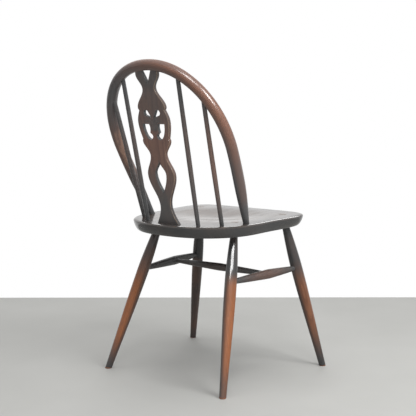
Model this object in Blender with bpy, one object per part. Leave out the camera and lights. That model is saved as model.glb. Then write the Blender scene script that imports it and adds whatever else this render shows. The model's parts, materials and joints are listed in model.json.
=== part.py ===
"""Hoop-back Windsor side chair with a fretted thistle splat.

Metres, +Z up, the front of the chair towards -Y and the floor at Z = 0.
Left and right are the sitter's, so left is +X.
Every piece is turned, bent or sawn by itself and stands in sockets cut in its neighbours.
"""

import math

import bmesh
import bpy
from mathutils import Matrix, Vector

# Seat board. Its height is that of the top face over the origin, and it falls towards the back.
# Its sides flare towards the front, over the flare's depth, from the back width to the full width.
SEAT_HEIGHT = 0.433
SEAT_FALL = math.radians(1.5)
SEAT_WIDTH = 0.416
SEAT_FLARE = 0.016
SEAT_BACK_WIDTH = SEAT_WIDTH - SEAT_FLARE
SEAT_DEPTH = 0.409
SEAT_BACK_Y = 0.177
SEAT_BACK_CURVE = 0.184
SEAT_FLARE_DEPTH = 0.140
SEAT_BACK_SQUARENESS = 2.35
SEAT_FRONT_SQUARENESS = 7.0
SEAT_THICKNESS = 0.031

# Rim of the seat: how far the top rounds over, how far down its widest line lies, how far the side
# slants in to the underside, and how full that slant is (1 is a straight chamfer and 2 an ellipse).
RIM_ROUND = 0.005
RIM_DROP = 0.005
RIM_UNDERCUT = 0.0115
RIM_FULLNESS = 1.5

# Saddle hollowed in the seat's top, with a low ridge towards the front.
DISH_DEPTH = 0.009
DISH_SIDE_MARGIN = 0.036
DISH_FRONT_MARGIN = 0.030
DISH_BACK_MARGIN = 0.089
RIDGE_HEIGHT = 0.004
RIDGE_WIDTH = 0.045

# Legs. The insets place each leg on the seat's underside, and the splays run from there to the foot.
FRONT_LEG_FROM_SIDE = 0.050
FRONT_LEG_FROM_FRONT = 0.0653
FRONT_SPLAY_SIDE = 0.0878
FRONT_SPLAY_FORWARD = 0.0665
REAR_LEG_FROM_SIDE = 0.0629
REAR_LEG_FROM_BACK = 0.1368
REAR_SPLAY_SIDE = 0.0723
REAR_SPLAY_BACK = 0.1372
LEG_FOOT_DIAMETER = 0.0185
LEG_SWELL_DIAMETER = 0.0326
LEG_SWELL_DROP = 0.133
LEG_TENON_DIAMETER = 0.0204

# Stretchers. Their drop is measured down from the seat's height to the front legs, and from there
# the side ones fall a little to the rear legs. A swell's fullness of 1 makes two straight cones.
STRETCHER_DROP = 0.149
STRETCHER_FALL = 0.004
SIDE_STRETCHER_END_DIAMETER = 0.0150
SIDE_STRETCHER_SWELL_DIAMETER = 0.0262
CROSS_SHARE = 0.55
CROSS_STRETCHER_END_DIAMETER = 0.0124
CROSS_STRETCHER_SWELL_DIAMETER = 0.0220
CROSS_SWELL_SHARE = 0.5
STRETCHER_BITE = 0.003
SWELL_FULLNESS = 0.85

# Hoop: one bent rod in a plane that leans back, its centre line as wide as the back of the seat.
# Rises are heights of the centre line over the seat, and the angle is that of its foot round the seat.
HOOP_FOOT_ANGLE = math.radians(12.6)
HOOP_INSET = 0.026
HOOP_RAKE = math.radians(25.7)
HOOP_WIDTH = SEAT_BACK_WIDTH
HOOP_RISE = 0.4133
HOOP_WIDE_RISE = 0.210
HOOP_SIDE_CURVE = 1.4
HOOP_BOW_SQUARENESS = 2.1
HOOP_RADIAL = 0.0275
HOOP_THICK = 0.0295
HOOP_SECTION_SQUARENESS = 2.3
HOOP_END_DIAMETER = 0.0172
HOOP_TAPER = 0.120

# Sticks, given by their angles round the back of the seat and round the bow of the hoop.
OUTER_STICK_SEAT_ANGLE = math.radians(36.0)
OUTER_STICK_BOW_ANGLE = math.radians(38.5)
INNER_STICK_SEAT_ANGLE = math.radians(57.0)
INNER_STICK_BOW_ANGLE = math.radians(62.2)
STICK_INSET = 0.029
STICK_DIAMETER = 0.0130
STICK_END_DIAMETER = 0.0112
STICK_SWELL_SHARE = 0.45
STICK_SEAT_DEPTH = 0.018

# Splat. Its edge is drawn by half widths and by steps up the slope from one stop to the next,
# and all steps stretch together to fill the space under the hoop.
SPLAT_INSET = 0.0315
SPLAT_THICKNESS = 0.0095
SPLAT_EDGE = 0.0012
SPLAT_SEAT_DEPTH = 0.012
SPLAT_HOOP_DEPTH = 0.009
FOOT_HALF = 0.0380
NECK_HALF, NECK_STEP = 0.0185, 0.050
BELLY_HALF, BELLY_STEP = 0.0470, 0.084
WAIST_HALF, WAIST_STEP = 0.0270, 0.054
EAR_HALF, EAR_STEP = 0.0470, 0.0385
LOW_NICK_DEPTH, LOW_NICK_STEP = 0.0020, 0.0055
HEAD_HALF, HEAD_STEP = 0.0540, 0.044
HIGH_NICK_DEPTH, HIGH_NICK_STEP = 0.0035, 0.031
CREST_HALF, CREST_STEP = 0.0475, 0.0075
THROAT_HALF, THROAT_STEP = 0.0210, 0.0495
HORN_HALF, HORN_STEP = 0.0385, 0.037
HORN_LAND = 0.009
CLEFT_HALF, CLEFT_DEPTH = 0.0158, 0.0335

# Ogee opening in the splat's belly: its widest place over the belly's, and its rise and fall from there.
OGEE_HALF, OGEE_LIFT = 0.0186, 0.003
OGEE_RISE, OGEE_FALL = 0.036, 0.051

# Leaf opening each side of the thistle, in steps down from the splat's head.
LEAF_OUTER, LEAF_INNER, LEAF_TOP_STEP = 0.0375, 0.0160, 0.005
BULB_SIDE, BULB_SIDE_STEP = 0.0135, 0.0095
BULB_RIM, BULB_RIM_STEP = 0.0158, 0.0135
CALYX, CALYX_STEP = 0.0075, 0.0095
LEAF_POINT, LEAF_POINT_STEP = 0.0156, 0.009

# Drop opening each side of the thistle's flower, over the splat's head.
DROP_ACROSS, DROP_LIFT, DROP_RADIUS = 0.0205, 0.0245, 0.0075
DROP_TIP, DROP_TIP_FALL = 0.0043, 0.0125

# Wedges that spread the leg tenons from above and the hoop's ends from below.
WEDGE_HEAD = 0.0030
WEDGE_TIP = 0.0012
WEDGE_LENGTH = 0.016

# Clearance between pieces that fit together, and how far a tenon lies under the face it comes out of.
CLEARANCE = 0.0003
FLUSH = 0.0002

# A land is the straight length kept past a socket's mouth, and a cutter runs past a face by its overcut.
LAND = 0.002
OVERCUT = 0.010

# Facets round each kind of piece and steps along it, and the longest step along a sawn outline.
# The crowdings draw the seat's points to its front corners and its rings to the rim.
SEAT_FACETS = 92
CORNER_CROWDING = 0.6
RIM_STEPS = 3
SADDLE_STEPS = 10
SADDLE_CROWDING = 1.25
LEG_FACETS = 22
LEG_STEPS = 8
STRETCHER_FACETS = 18
STICK_FACETS = 12
SWELL_STEPS = 5
HOOP_FACETS = 16
HOOP_SIDE_STEPS = 9
HOOP_BOW_STEPS = 15
LEAF_STEPS = 8
DROP_STEPS = 9
SAWN_STEP = 0.0065

# Edges that turn by more than this are shaded sharp, and an eased corner reaches no farther than this share.
SHARP_TURN = math.radians(35)
LEAST_MITRE = 0.3

# Stained and lacquered wood, by piece: colour and roughness.
WALNUT_STAIN = (0.075, 0.046, 0.034)
RED_STAIN = (0.150, 0.072, 0.045)
BLACK_STAIN = (0.035, 0.027, 0.023)
WEDGE_WOOD = (0.210, 0.130, 0.075)
GLOSS_ROUGHNESS = 0.25
SATIN_ROUGHNESS = 0.38

UP = Vector((0, 0, 1))
SIDES = {"left": 1, "right": -1}


def clear_scene():
    for obj in list(bpy.data.objects):
        bpy.data.objects.remove(obj, do_unlink=True)


def stain(name, colour, roughness):
    """One Principled material for one piece."""
    material = bpy.data.materials.new(name)
    material.use_nodes = True
    shader = material.node_tree.nodes["Principled BSDF"]
    shader.inputs["Base Color"].default_value = (*colour, 1)
    shader.inputs["Roughness"].default_value = roughness
    shader.inputs["Metallic"].default_value = 0
    return material


def add_object(name, bm, frame):
    """Turns a bmesh into an object that stands in the given frame, under the chair's empty."""
    bmesh.ops.recalc_face_normals(bm, faces=bm.faces)
    mesh = bpy.data.meshes.new(name)
    bm.to_mesh(mesh)
    bm.free()
    mesh.shade_smooth()
    mesh.set_sharp_from_angle(angle=SHARP_TURN)
    obj = bpy.data.objects.new(name, mesh)
    bpy.context.scene.collection.objects.link(obj)
    obj.parent = chair
    obj.matrix_world = frame
    return obj


def add_piece(name, bm, frame, colour, roughness):
    obj = add_object(name, bm, frame)
    obj.data.materials.append(stain(name, colour, roughness))
    return obj


def cut(piece, name, bm, frame):
    """Takes a hidden cutter out of a piece."""
    cutter = add_object(f"cut_{name}", bm, frame)
    cutter.hide_render = True
    cutter.display_type = "WIRE"
    modifier = piece.modifiers.new(name, "BOOLEAN")
    modifier.operation = "DIFFERENCE"
    modifier.solver = "EXACT"
    modifier.object = cutter


def bridge(bm, low, high):
    """Faces between two rows of equally many points."""
    for i in range(len(low)):
        j = (i + 1) % len(low)
        bm.faces.new((low[i], low[j], high[j], high[i]))


def loft(rings, peak=None):
    """Closed skin through rings, flat on the first and on the last, or fanned from the last to a peak."""
    bm = bmesh.new()
    rows = [[bm.verts.new(point) for point in ring] for ring in rings]
    for low, high in zip(rows, rows[1:]):
        bridge(bm, low, high)
    bm.faces.new(rows[0])
    if peak is None:
        bm.faces.new(rows[-1])
        return bm
    top = bm.verts.new(peak)
    for here, after in zip(rows[-1], rows[-1][1:] + rows[-1][:1]):
        bm.faces.new((here, after, top))
    return bm


def box(low, high):
    plan = [(low[0], low[1]), (high[0], low[1]), (high[0], high[1]), (low[0], high[1])]
    return loft([[(x, y, z) for x, y in plan] for z in (low[2], high[2])])


def circle(radius, height, facets):
    steps = [math.tau * i / facets for i in range(facets)]
    return [Vector((radius * math.cos(a), radius * math.sin(a), height)) for a in steps]


def axis_frame(start, end):
    """Frame at start with its Z along the way to end."""
    return Matrix.Translation(start) @ (end - start).to_track_quat("Z", "Y").to_matrix().to_4x4()


def meet(point, direction, plane):
    """Where a line meets a plane given as a point and a normal."""
    origin, normal = plane
    return point + direction * ((origin - point).dot(normal) / direction.dot(normal))


def slide_to(ring, frame, plane, towards=None):
    """The ring's points moved along the frame's Z, or towards another ring, onto a plane of the world."""
    inverse = frame.inverted()
    local = (inverse @ plane[0], inverse.to_3x3() @ plane[1])
    ways = [end - start for start, end in zip(ring, towards)] if towards else [UP] * len(ring)
    return [meet(point, way, local) for point, way in zip(ring, ways)]


def slant(radius, direction, normal):
    """Length along a bar of this radius over which a plane with this normal cuts it, with a land beyond."""
    cosine = abs(direction.normalized().dot(normal))
    return radius * math.sqrt(1 / cosine**2 - 1) + LAND


def bore(piece, name, start, end, diameter, facets):
    """Round socket with clearance, from its bottom at start to its mouth at end."""
    radius = diameter / 2 + CLEARANCE
    length = (end - start).length
    bm = loft([circle(radius, -CLEARANCE, facets), circle(radius, length, facets)])
    cut(piece, name, bm, axis_frame(start, end))


def spread(start, end, count):
    return [start + (end - start) * i / count for i in range(count)]


def ease(share):
    """Gentle rise from 0 to 1 that starts sloping and ends level."""
    return (math.sin(math.pi * share / 2) + (1 - math.cos(math.pi * share)) / 2) / 2


def swelled_bar(name, start, end, ends, swell, parallel, swell_share, facets, colour):
    """Turned bar with straight ends for its sockets and a swelling between them."""
    length = (end - start).length
    crest = length * swell_share
    far = length - parallel

    def radius_at(distance):
        reach = crest - parallel if distance < crest else far - crest
        share = max(0, 1 - abs(distance - crest) / reach)
        return (ends + (swell - ends) * share**SWELL_FULLNESS) / 2

    places = [0, *spread(parallel, crest, SWELL_STEPS), *spread(crest, far, SWELL_STEPS), far, length]
    rings = [circle(radius_at(place), place, facets) for place in places]
    return add_piece(name, loft(rings), axis_frame(start, end), colour, SATIN_ROUGHNESS)


# Seat: a plan of two superellipses, a rounded rim and a shallow saddle, in a frame of its own.

SEAT_FRAME = Matrix.Translation((0, 0, SEAT_HEIGHT)) @ Matrix.Rotation(-SEAT_FALL, 4, "X")
SEAT_UP = SEAT_FRAME.to_3x3() @ UP
SEAT_MIDDLE_Y = SEAT_BACK_Y - SEAT_BACK_CURVE
SEAT_FRONT_Y = SEAT_BACK_Y - SEAT_DEPTH


def seat_point(bearing, inset=0.0):
    """Point of the seat's plan, by its bearing from the sitter's left round towards the back."""
    behind = math.sin(bearing) >= 0
    across = SEAT_BACK_WIDTH / 2 - inset
    along = (SEAT_BACK_CURVE if behind else SEAT_DEPTH - SEAT_BACK_CURVE) - inset
    power = SEAT_BACK_SQUARENESS if behind else SEAT_FRONT_SQUARENESS
    parts = (abs(math.cos(bearing)) / across) ** power + (abs(math.sin(bearing)) / along) ** power
    reach = parts ** (-1 / power)
    x = reach * math.cos(bearing)
    y = reach * math.sin(bearing)
    flare = 0 if behind else math.sin(math.pi / 2 * min(1, -y / SEAT_FLARE_DEPTH)) ** 2
    return x * (1 + (SEAT_WIDTH / SEAT_BACK_WIDTH - 1) * flare), SEAT_MIDDLE_Y + y


def seat_bearings():
    """Bearings all round, crowded at the front corners where the plan turns fast."""
    for i in range(SEAT_FACETS):
        turn = math.tau * i / SEAT_FACETS
        if math.sin(turn) >= 0:
            yield turn
            continue
        across = math.copysign(abs(math.cos(turn)) ** CORNER_CROWDING, math.cos(turn))
        yield math.atan2(-abs(math.sin(turn)) ** CORNER_CROWDING, across)


def dish(x, y):
    """Depth of the saddle under the seat's top face."""
    front = SEAT_FRONT_Y + DISH_FRONT_MARGIN
    back = SEAT_BACK_Y - DISH_BACK_MARGIN
    half = (back - front) / 2
    ahead = (y - front - half) / half
    aside = x / (SEAT_WIDTH / 2 - DISH_SIDE_MARGIN)
    reach = min(1, math.hypot(ahead, aside))
    bowl = (1 + math.cos(math.pi * reach)) / 2
    ridge = RIDGE_HEIGHT * math.exp(-((2 * x / RIDGE_WIDTH) ** 2)) * max(0, -ahead) * bowl
    return DISH_DEPTH * bowl - ridge


def on_seat(x, y, depth=0.0):
    return SEAT_FRAME @ Vector((x, y, -depth))


def rim_profile():
    """Insets and depths of the rim's rings, from the underside up the slanted side and over to the top."""
    below = SEAT_THICKNESS - RIM_DROP
    power = 2 / RIM_FULLNESS
    profile = []
    for i in range(RIM_STEPS):
        angle = math.pi / 2 * i / RIM_STEPS
        inset = RIM_UNDERCUT * (1 - math.sin(angle) ** power)
        profile.append((inset, RIM_DROP + below * math.cos(angle) ** power))
    for i in range(RIM_STEPS + 1):
        angle = math.pi / 2 * i / RIM_STEPS
        profile.append((RIM_ROUND * (1 - math.cos(angle)), RIM_DROP * (1 - math.sin(angle))))
    return profile


def build_seat():
    bearings = list(seat_bearings())
    rings = []
    for inset, depth in rim_profile():
        rings.append([(*seat_point(bearing, inset), -depth) for bearing in bearings])
    for i in range(1, SADDLE_STEPS):
        share = 1 - (i / SADDLE_STEPS) ** SADDLE_CROWDING
        ring = []
        for bearing in bearings:
            x, y = seat_point(bearing, RIM_ROUND)
            x = x * share
            y = SEAT_MIDDLE_Y + (y - SEAT_MIDDLE_Y) * share
            ring.append((x, y, -dish(x, y)))
        rings.append(ring)
    middle = (0, SEAT_MIDDLE_Y, -dish(0, SEAT_MIDDLE_Y))
    return add_piece("seat", loft(rings, middle), SEAT_FRAME, WALNUT_STAIN, GLOSS_ROUGHNESS)


def build_wedge(piece, name, tip, out, plane, tenon_diameter):
    """Wedge driven into a tenon's end at tip, flush with the plane, and the kerf that takes it."""
    across = Vector((1, 0, 0))
    across = (across - out * across.dot(out)).normalized()
    frame = Matrix((across, out.cross(across), out)).transposed().to_4x4()
    frame.translation = tip

    def tapered(half_across, grow):
        """Ends of the tapered block, from below its tip to past the tenon's end."""
        taper = (WEDGE_HEAD - WEDGE_TIP) / 2 / WEDGE_LENGTH
        corners = ((-1, -1), (1, -1), (1, 1), (-1, 1))
        rings = []
        for z in (-WEDGE_LENGTH - grow, OVERCUT):
            half = WEDGE_HEAD / 2 + taper * z + grow
            rings.append([Vector((x * half_across, y * half, z)) for x, y in corners])
        return rings

    chord = math.sqrt(tenon_diameter**2 - WEDGE_HEAD**2)
    low, high = tapered(chord / 2, 0)
    add_piece(name, loft([low, slide_to(low, frame, plane, high)]), frame, WEDGE_WOOD, SATIN_ROUGHNESS)
    cut(piece, f"{name}_kerf", loft(tapered(tenon_diameter, CLEARANCE)), frame)


# Legs: splayed turned bars whose tenons go right through the seat and are wedged from above.


def build_leg(name, side, x, y, splay_side, splay_back, stretcher_drop):
    top = on_seat(side * x, y, SEAT_THICKNESS)
    foot = Vector((top.x + side * splay_side, top.y + splay_back, 0))
    direction = (top - foot).normalized()
    frame = axis_frame(foot, top)
    length = (top - foot).length
    face = (on_seat(0, 0, dish(side * x, y) + FLUSH), SEAT_UP)
    tip = meet(top, direction, face)
    mouth = slant(LEG_TENON_DIAMETER / 2, direction, SEAT_UP)
    neck = length - mouth
    crest = length - LEG_SWELL_DROP
    first = slant(LEG_FOOT_DIAMETER / 2, direction, UP)

    def radius_at(distance):
        if distance < crest:
            rise = LEG_SWELL_DIAMETER - LEG_FOOT_DIAMETER
            return (LEG_FOOT_DIAMETER + rise * ease(distance / crest)) / 2
        share = min(1, (distance - crest) / (neck - crest))
        fall = LEG_SWELL_DIAMETER - LEG_TENON_DIAMETER
        return (LEG_TENON_DIAMETER + fall * math.cos(math.pi / 2 * share)) / 2

    places = [*spread(first, crest, LEG_STEPS), *spread(crest, neck, SWELL_STEPS), neck]
    rings = [slide_to(circle(radius_at(0), 0, LEG_FACETS), frame, (foot, UP))]
    rings += [circle(radius_at(place), place, LEG_FACETS) for place in places]
    rings.append(slide_to(circle(LEG_TENON_DIAMETER / 2, length, LEG_FACETS), frame, face))
    leg = add_piece(name, loft(rings), frame, RED_STAIN, GLOSS_ROUGHNESS)
    reach = direction * (mouth + OVERCUT)
    bore(seat, f"{name}_socket", top - reach, tip + reach, LEG_TENON_DIAMETER, LEG_FACETS)
    build_wedge(leg, name.replace("leg", "leg_wedge"), tip, direction, face, LEG_TENON_DIAMETER)
    level = SEAT_HEIGHT - stretcher_drop
    return leg, foot + (top - foot) * (level / top.z)


# Stretchers: an H of swelled bars in blind sockets.


def build_stretcher(name, ends, diameter, swell, swell_share, socket_diameter):
    """Swelled bar between two (piece, point) ends, in a blind socket of each piece."""
    (first, first_point), (last, last_point) = ends
    along = (last_point - first_point).normalized()
    start = first_point - along * STRETCHER_BITE
    end = last_point + along * STRETCHER_BITE
    parallel = (socket_diameter + diameter) / 2 + STRETCHER_BITE
    bar = swelled_bar(name, start, end, diameter, swell, parallel, swell_share, STRETCHER_FACETS, BLACK_STAIN)
    mouth = along * (parallel + OVERCUT)
    bore(first, f"{name}_first_socket", start, start + mouth, diameter, STRETCHER_FACETS)
    bore(last, f"{name}_last_socket", end, end - mouth, diameter, STRETCHER_FACETS)
    return bar, start + (end - start) * swell_share


def build_side_stretcher(name, rear, front):
    return build_stretcher(name, (rear, front), SIDE_STRETCHER_END_DIAMETER, SIDE_STRETCHER_SWELL_DIAMETER,
                           CROSS_SHARE, LEG_SWELL_DIAMETER)


def build_cross_stretcher(name, left, right):
    build_stretcher(name, (left, right), CROSS_STRETCHER_END_DIAMETER, CROSS_STRETCHER_SWELL_DIAMETER,
                    CROSS_SWELL_SHARE, SIDE_STRETCHER_SWELL_DIAMETER)


# Hoop: an oval section carried along a planar bow, with round ends through the seat.

HOOP_FOOT = on_seat(*seat_point(HOOP_FOOT_ANGLE, HOOP_INSET))
HOOP_NORMAL = Vector((0, math.cos(HOOP_RAKE), -math.sin(HOOP_RAKE)))


def hoop_centre(across, rise):
    return Vector((across, HOOP_FOOT.y + math.tan(HOOP_RAKE) * rise, HOOP_FOOT.z + rise))


def bow_point(bearing):
    """Across and rise of the hoop's upper part, from its widest place (0) to its crown (90 degrees)."""
    power = 2 / HOOP_BOW_SQUARENESS
    rise = HOOP_WIDE_RISE + (HOOP_RISE - HOOP_WIDE_RISE) * math.sin(bearing) ** power
    return HOOP_WIDTH / 2 * abs(math.cos(bearing)) ** power, rise


def side_point(rise):
    """Across and rise of the hoop's side, which leans in towards the seat."""
    share = 1 - rise / HOOP_WIDE_RISE
    return HOOP_WIDTH / 2 - (HOOP_WIDTH / 2 - HOOP_FOOT.x) * share**HOOP_SIDE_CURVE, rise


def hoop_section(centre, tangent, rise, neck):
    """Ring of the hoop's oval section, which becomes round towards the seat."""
    share = min(1, max(0, (rise - neck) / (HOOP_TAPER - neck)))
    grown = math.sin(math.pi / 2 * share)
    radial = (HOOP_END_DIAMETER + (HOOP_RADIAL - HOOP_END_DIAMETER) * grown) / 2
    thick = (HOOP_END_DIAMETER + (HOOP_THICK - HOOP_END_DIAMETER) * grown) / 2
    power = 2 / (2 + (HOOP_SECTION_SQUARENESS - 2) * grown)
    outward = HOOP_NORMAL.cross(tangent).normalized()
    ring = []
    for i in range(HOOP_FACETS):
        angle = math.tau * i / HOOP_FACETS
        u = math.copysign(abs(math.cos(angle)) ** power, math.cos(angle))
        v = math.copysign(abs(math.sin(angle)) ** power, math.sin(angle))
        ring.append(centre + outward * radial * u + HOOP_NORMAL * thick * v)
    return ring


def build_hoop():
    half = [side_point(HOOP_WIDE_RISE * i / HOOP_SIDE_STEPS) for i in range(HOOP_SIDE_STEPS)]
    half += [bow_point(math.pi / 2 * i / HOOP_BOW_STEPS) for i in range(HOOP_BOW_STEPS + 1)]
    path = [hoop_centre(-x, rise) for x, rise in half]
    path += [hoop_centre(x, rise) for x, rise in reversed(half[:-1])]
    near, far = (hoop_centre(*side_point(rise)) for rise in (0, LAND))
    entry = (near - far).normalized()
    neck = slant(HOOP_END_DIAMETER / 2, entry, SEAT_UP)
    rings = []
    for i in range(1, len(path) - 1):
        tangent = (path[i + 1] - path[i - 1]).normalized()
        rings.append(hoop_section(path[i], tangent, path[i].z - HOOP_FOOT.z, neck))
    underside = (on_seat(0, 0, SEAT_THICKNESS - FLUSH), SEAT_UP)
    ends = {}
    for side_name, side in SIDES.items():
        flip = Vector((side, 1, 1))
        foot = HOOP_FOOT * flip
        into = entry * flip
        ends[side_name] = (foot, into)
        straight = hoop_section(foot - into * neck, into * side, 0, neck)
        last = [meet(point, into, underside) for point in straight]
        rings = [last, straight] + rings if side < 0 else rings + [straight, last]
    hoop = add_piece("back_hoop", loft(rings), Matrix.Identity(4), RED_STAIN, GLOSS_ROUGHNESS)
    for side_name, (foot, into) in ends.items():
        tip = meet(foot, into, underside)
        reach = into * (neck + OVERCUT)
        bore(seat, f"hoop_{side_name}_socket", tip + reach, foot - reach, HOOP_END_DIAMETER, HOOP_FACETS)
        build_wedge(hoop, f"hoop_wedge_{side_name}", tip, into, underside, HOOP_END_DIAMETER)
    return hoop


# Sticks: slim tapered rods from the seat to the hoop's centre line.


def build_stick(name, side, seat_bearing, bow_bearing):
    x, y = seat_point(seat_bearing, STICK_INSET)
    foot = on_seat(side * x, y)
    across, rise = bow_point(bow_bearing)
    end = hoop_centre(side * across, rise)
    along = (end - foot).normalized()
    start = foot - along * STICK_SEAT_DEPTH
    parallel = STICK_SEAT_DEPTH + slant(STICK_END_DIAMETER / 2, along, SEAT_UP)
    swelled_bar(name, start, end, STICK_END_DIAMETER, STICK_DIAMETER, parallel, STICK_SWELL_SHARE,
                STICK_FACETS, BLACK_STAIN)
    mouth = start + along * (parallel + OVERCUT)
    bore(seat, f"{name}_seat_socket", start, mouth, STICK_END_DIAMETER, STICK_FACETS)
    mouth = end - along * (HOOP_THICK + OVERCUT)
    bore(hoop, f"{name}_hoop_socket", end, mouth, STICK_END_DIAMETER, STICK_FACETS)


# Splat: a sawn board with eased edges, housed in the seat and, by its two horns, in the hoop.

ROUND, SHARP = True, False
BELLY_AT = NECK_STEP + BELLY_STEP
WAIST_AT = BELLY_AT + WAIST_STEP
EAR_AT = WAIST_AT + EAR_STEP
LOW_NICK_AT = EAR_AT + LOW_NICK_STEP
HEAD_AT = LOW_NICK_AT + HEAD_STEP
HIGH_NICK_AT = HEAD_AT + HIGH_NICK_STEP
CREST_AT = HIGH_NICK_AT + CREST_STEP
THROAT_AT = CREST_AT + THROAT_STEP
HORN_AT = THROAT_AT + HORN_STEP
SPLAT_DRAWN_HEIGHT = HORN_AT + HORN_LAND


def cyma(stops):
    """Points up a moulded edge through stops of (half width, height, rounded or sharp)."""
    points = []
    for (x0, y0, round0), (x1, y1, round1) in zip(stops, stops[1:]):
        steps = max(1, round(math.hypot(x1 - x0, y1 - y0) / SAWN_STEP))
        for i in range(steps):
            share = i / steps
            if round0 and round1:
                bend = (1 - math.cos(math.pi * share)) / 2
            elif round0:
                bend = 1 - math.cos(math.pi / 2 * share)
            elif round1:
                bend = math.sin(math.pi / 2 * share)
            else:
                bend = share
            points.append((x0 + (x1 - x0) * bend, y0 + (y1 - y0) * share))
    points.append(stops[-1][:2])
    return points


def mirrored(points):
    return [(-x, y) for x, y in reversed(points)]


def splat_outline(bottom, top):
    """Outside of the splat as drawn, from the foot of its +X side over the horns to the other foot."""
    edge = cyma([
        (FOOT_HALF, 0, SHARP),
        (NECK_HALF, NECK_STEP, ROUND),
        (BELLY_HALF, BELLY_AT, ROUND),
        (WAIST_HALF, WAIST_AT, ROUND),
        (EAR_HALF, EAR_AT, ROUND),
        (EAR_HALF - LOW_NICK_DEPTH, LOW_NICK_AT, SHARP),
        (HEAD_HALF, HEAD_AT, ROUND),
        (CREST_HALF - HIGH_NICK_DEPTH, HIGH_NICK_AT, SHARP),
        (CREST_HALF, CREST_AT, ROUND),
        (THROAT_HALF, THROAT_AT, ROUND),
        (HORN_HALF, HORN_AT, ROUND),
    ])
    horn = [(HORN_HALF, top), (CLEFT_HALF, top), (CLEFT_HALF, SPLAT_DRAWN_HEIGHT)]
    half = [(FOOT_HALF, bottom), *edge, *horn]
    return half + [(0, SPLAT_DRAWN_HEIGHT - CLEFT_DEPTH)] + mirrored(half)


def ogee_opening():
    widest = BELLY_AT + OGEE_LIFT
    edge = cyma([(0, widest - OGEE_FALL, SHARP), (OGEE_HALF, widest, ROUND), (0, widest + OGEE_RISE, ROUND)])
    return edge + mirrored(edge)[1:-1]


def leaf_opening():
    """Opening beside the thistle: bulb and calyx on the inner side, an elliptic sweep on the outer side."""
    top = HEAD_AT - LEAF_TOP_STEP
    bulb_side = top - BULB_SIDE_STEP
    bulb_rim = bulb_side - BULB_RIM_STEP
    calyx = bulb_rim - CALYX_STEP
    point = calyx - LEAF_POINT_STEP
    inner = cyma([
        (LEAF_POINT, point, SHARP),
        (CALYX, calyx, ROUND),
        (BULB_RIM, bulb_rim, SHARP),
        (BULB_SIDE, bulb_side, ROUND),
        (LEAF_INNER, top, SHARP),
    ])
    sweep = LEAF_OUTER - LEAF_POINT
    outer = []
    for i in range(1, LEAF_STEPS):
        angle = math.pi / 2 * i / LEAF_STEPS
        outer.append((LEAF_POINT + sweep * math.sin(angle), top - (top - point) * math.cos(angle)))
    return [*outer, (LEAF_OUTER, top), *reversed(inner)]


def drop_opening():
    """Round drop whose straight sides run to a tip."""
    centre = Vector((DROP_ACROSS, HEAD_AT + DROP_LIFT))
    tip = Vector((DROP_TIP, centre.y - DROP_TIP_FALL))
    towards = tip - centre
    touch = math.acos(DROP_RADIUS / towards.length)
    first = math.atan2(towards.y, towards.x) + touch
    loop = [tuple(tip)]
    for i in range(DROP_STEPS + 1):
        angle = first + (math.tau - 2 * touch) * i / DROP_STEPS
        loop.append((centre.x + DROP_RADIUS * math.cos(angle), centre.y + DROP_RADIUS * math.sin(angle)))
    return loop


def turn_to(loop, anticlockwise):
    area = sum(x0 * y1 - x1 * y0 for (x0, y0), (x1, y1) in zip(loop, loop[1:] + loop[:1]))
    return loop if (area > 0) == anticlockwise else loop[::-1]


def eased(loop):
    """The loop moved into the wood on its left by the width of the eased edge."""
    moved = []
    for before, here, after in zip(loop[-1:] + loop[:-1], loop, loop[1:] + loop[:1]):
        arrive = (Vector(here) - Vector(before)).normalized()
        leave = (Vector(after) - Vector(here)).normalized()
        normal = Vector((-arrive.y - leave.y, arrive.x + leave.x)).normalized()
        shift = SPLAT_EDGE / max(LEAST_MITRE, normal.dot(Vector((-arrive.y, arrive.x))))
        moved.append((here[0] + normal.x * shift, here[1] + normal.y * shift))
    return moved


def fretwork(loops):
    """Board of the splat's thickness with these loops as its sawn edges, the wood on the left of each."""
    bm = bmesh.new()
    half = SPLAT_THICKNESS / 2
    rims = {half: [], -half: []}
    for loop in loops:
        inner = eased(loop)
        levels = [(inner, half), (loop, half - SPLAT_EDGE), (loop, SPLAT_EDGE - half), (inner, -half)]
        rows = [[bm.verts.new((x, y, z)) for x, y in points] for points, z in levels]
        for low, high in zip(rows, rows[1:]):
            bridge(bm, low, high)
        for z, row in ((half, rows[0]), (-half, rows[-1])):
            rims[z] += [bm.edges.get(pair) for pair in zip(row, row[1:] + row[:1])]
    for z, edges in rims.items():
        bmesh.ops.triangle_fill(bm, use_beauty=True, use_dissolve=False, edges=edges, normal=(0, 0, z))
    return bm


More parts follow.
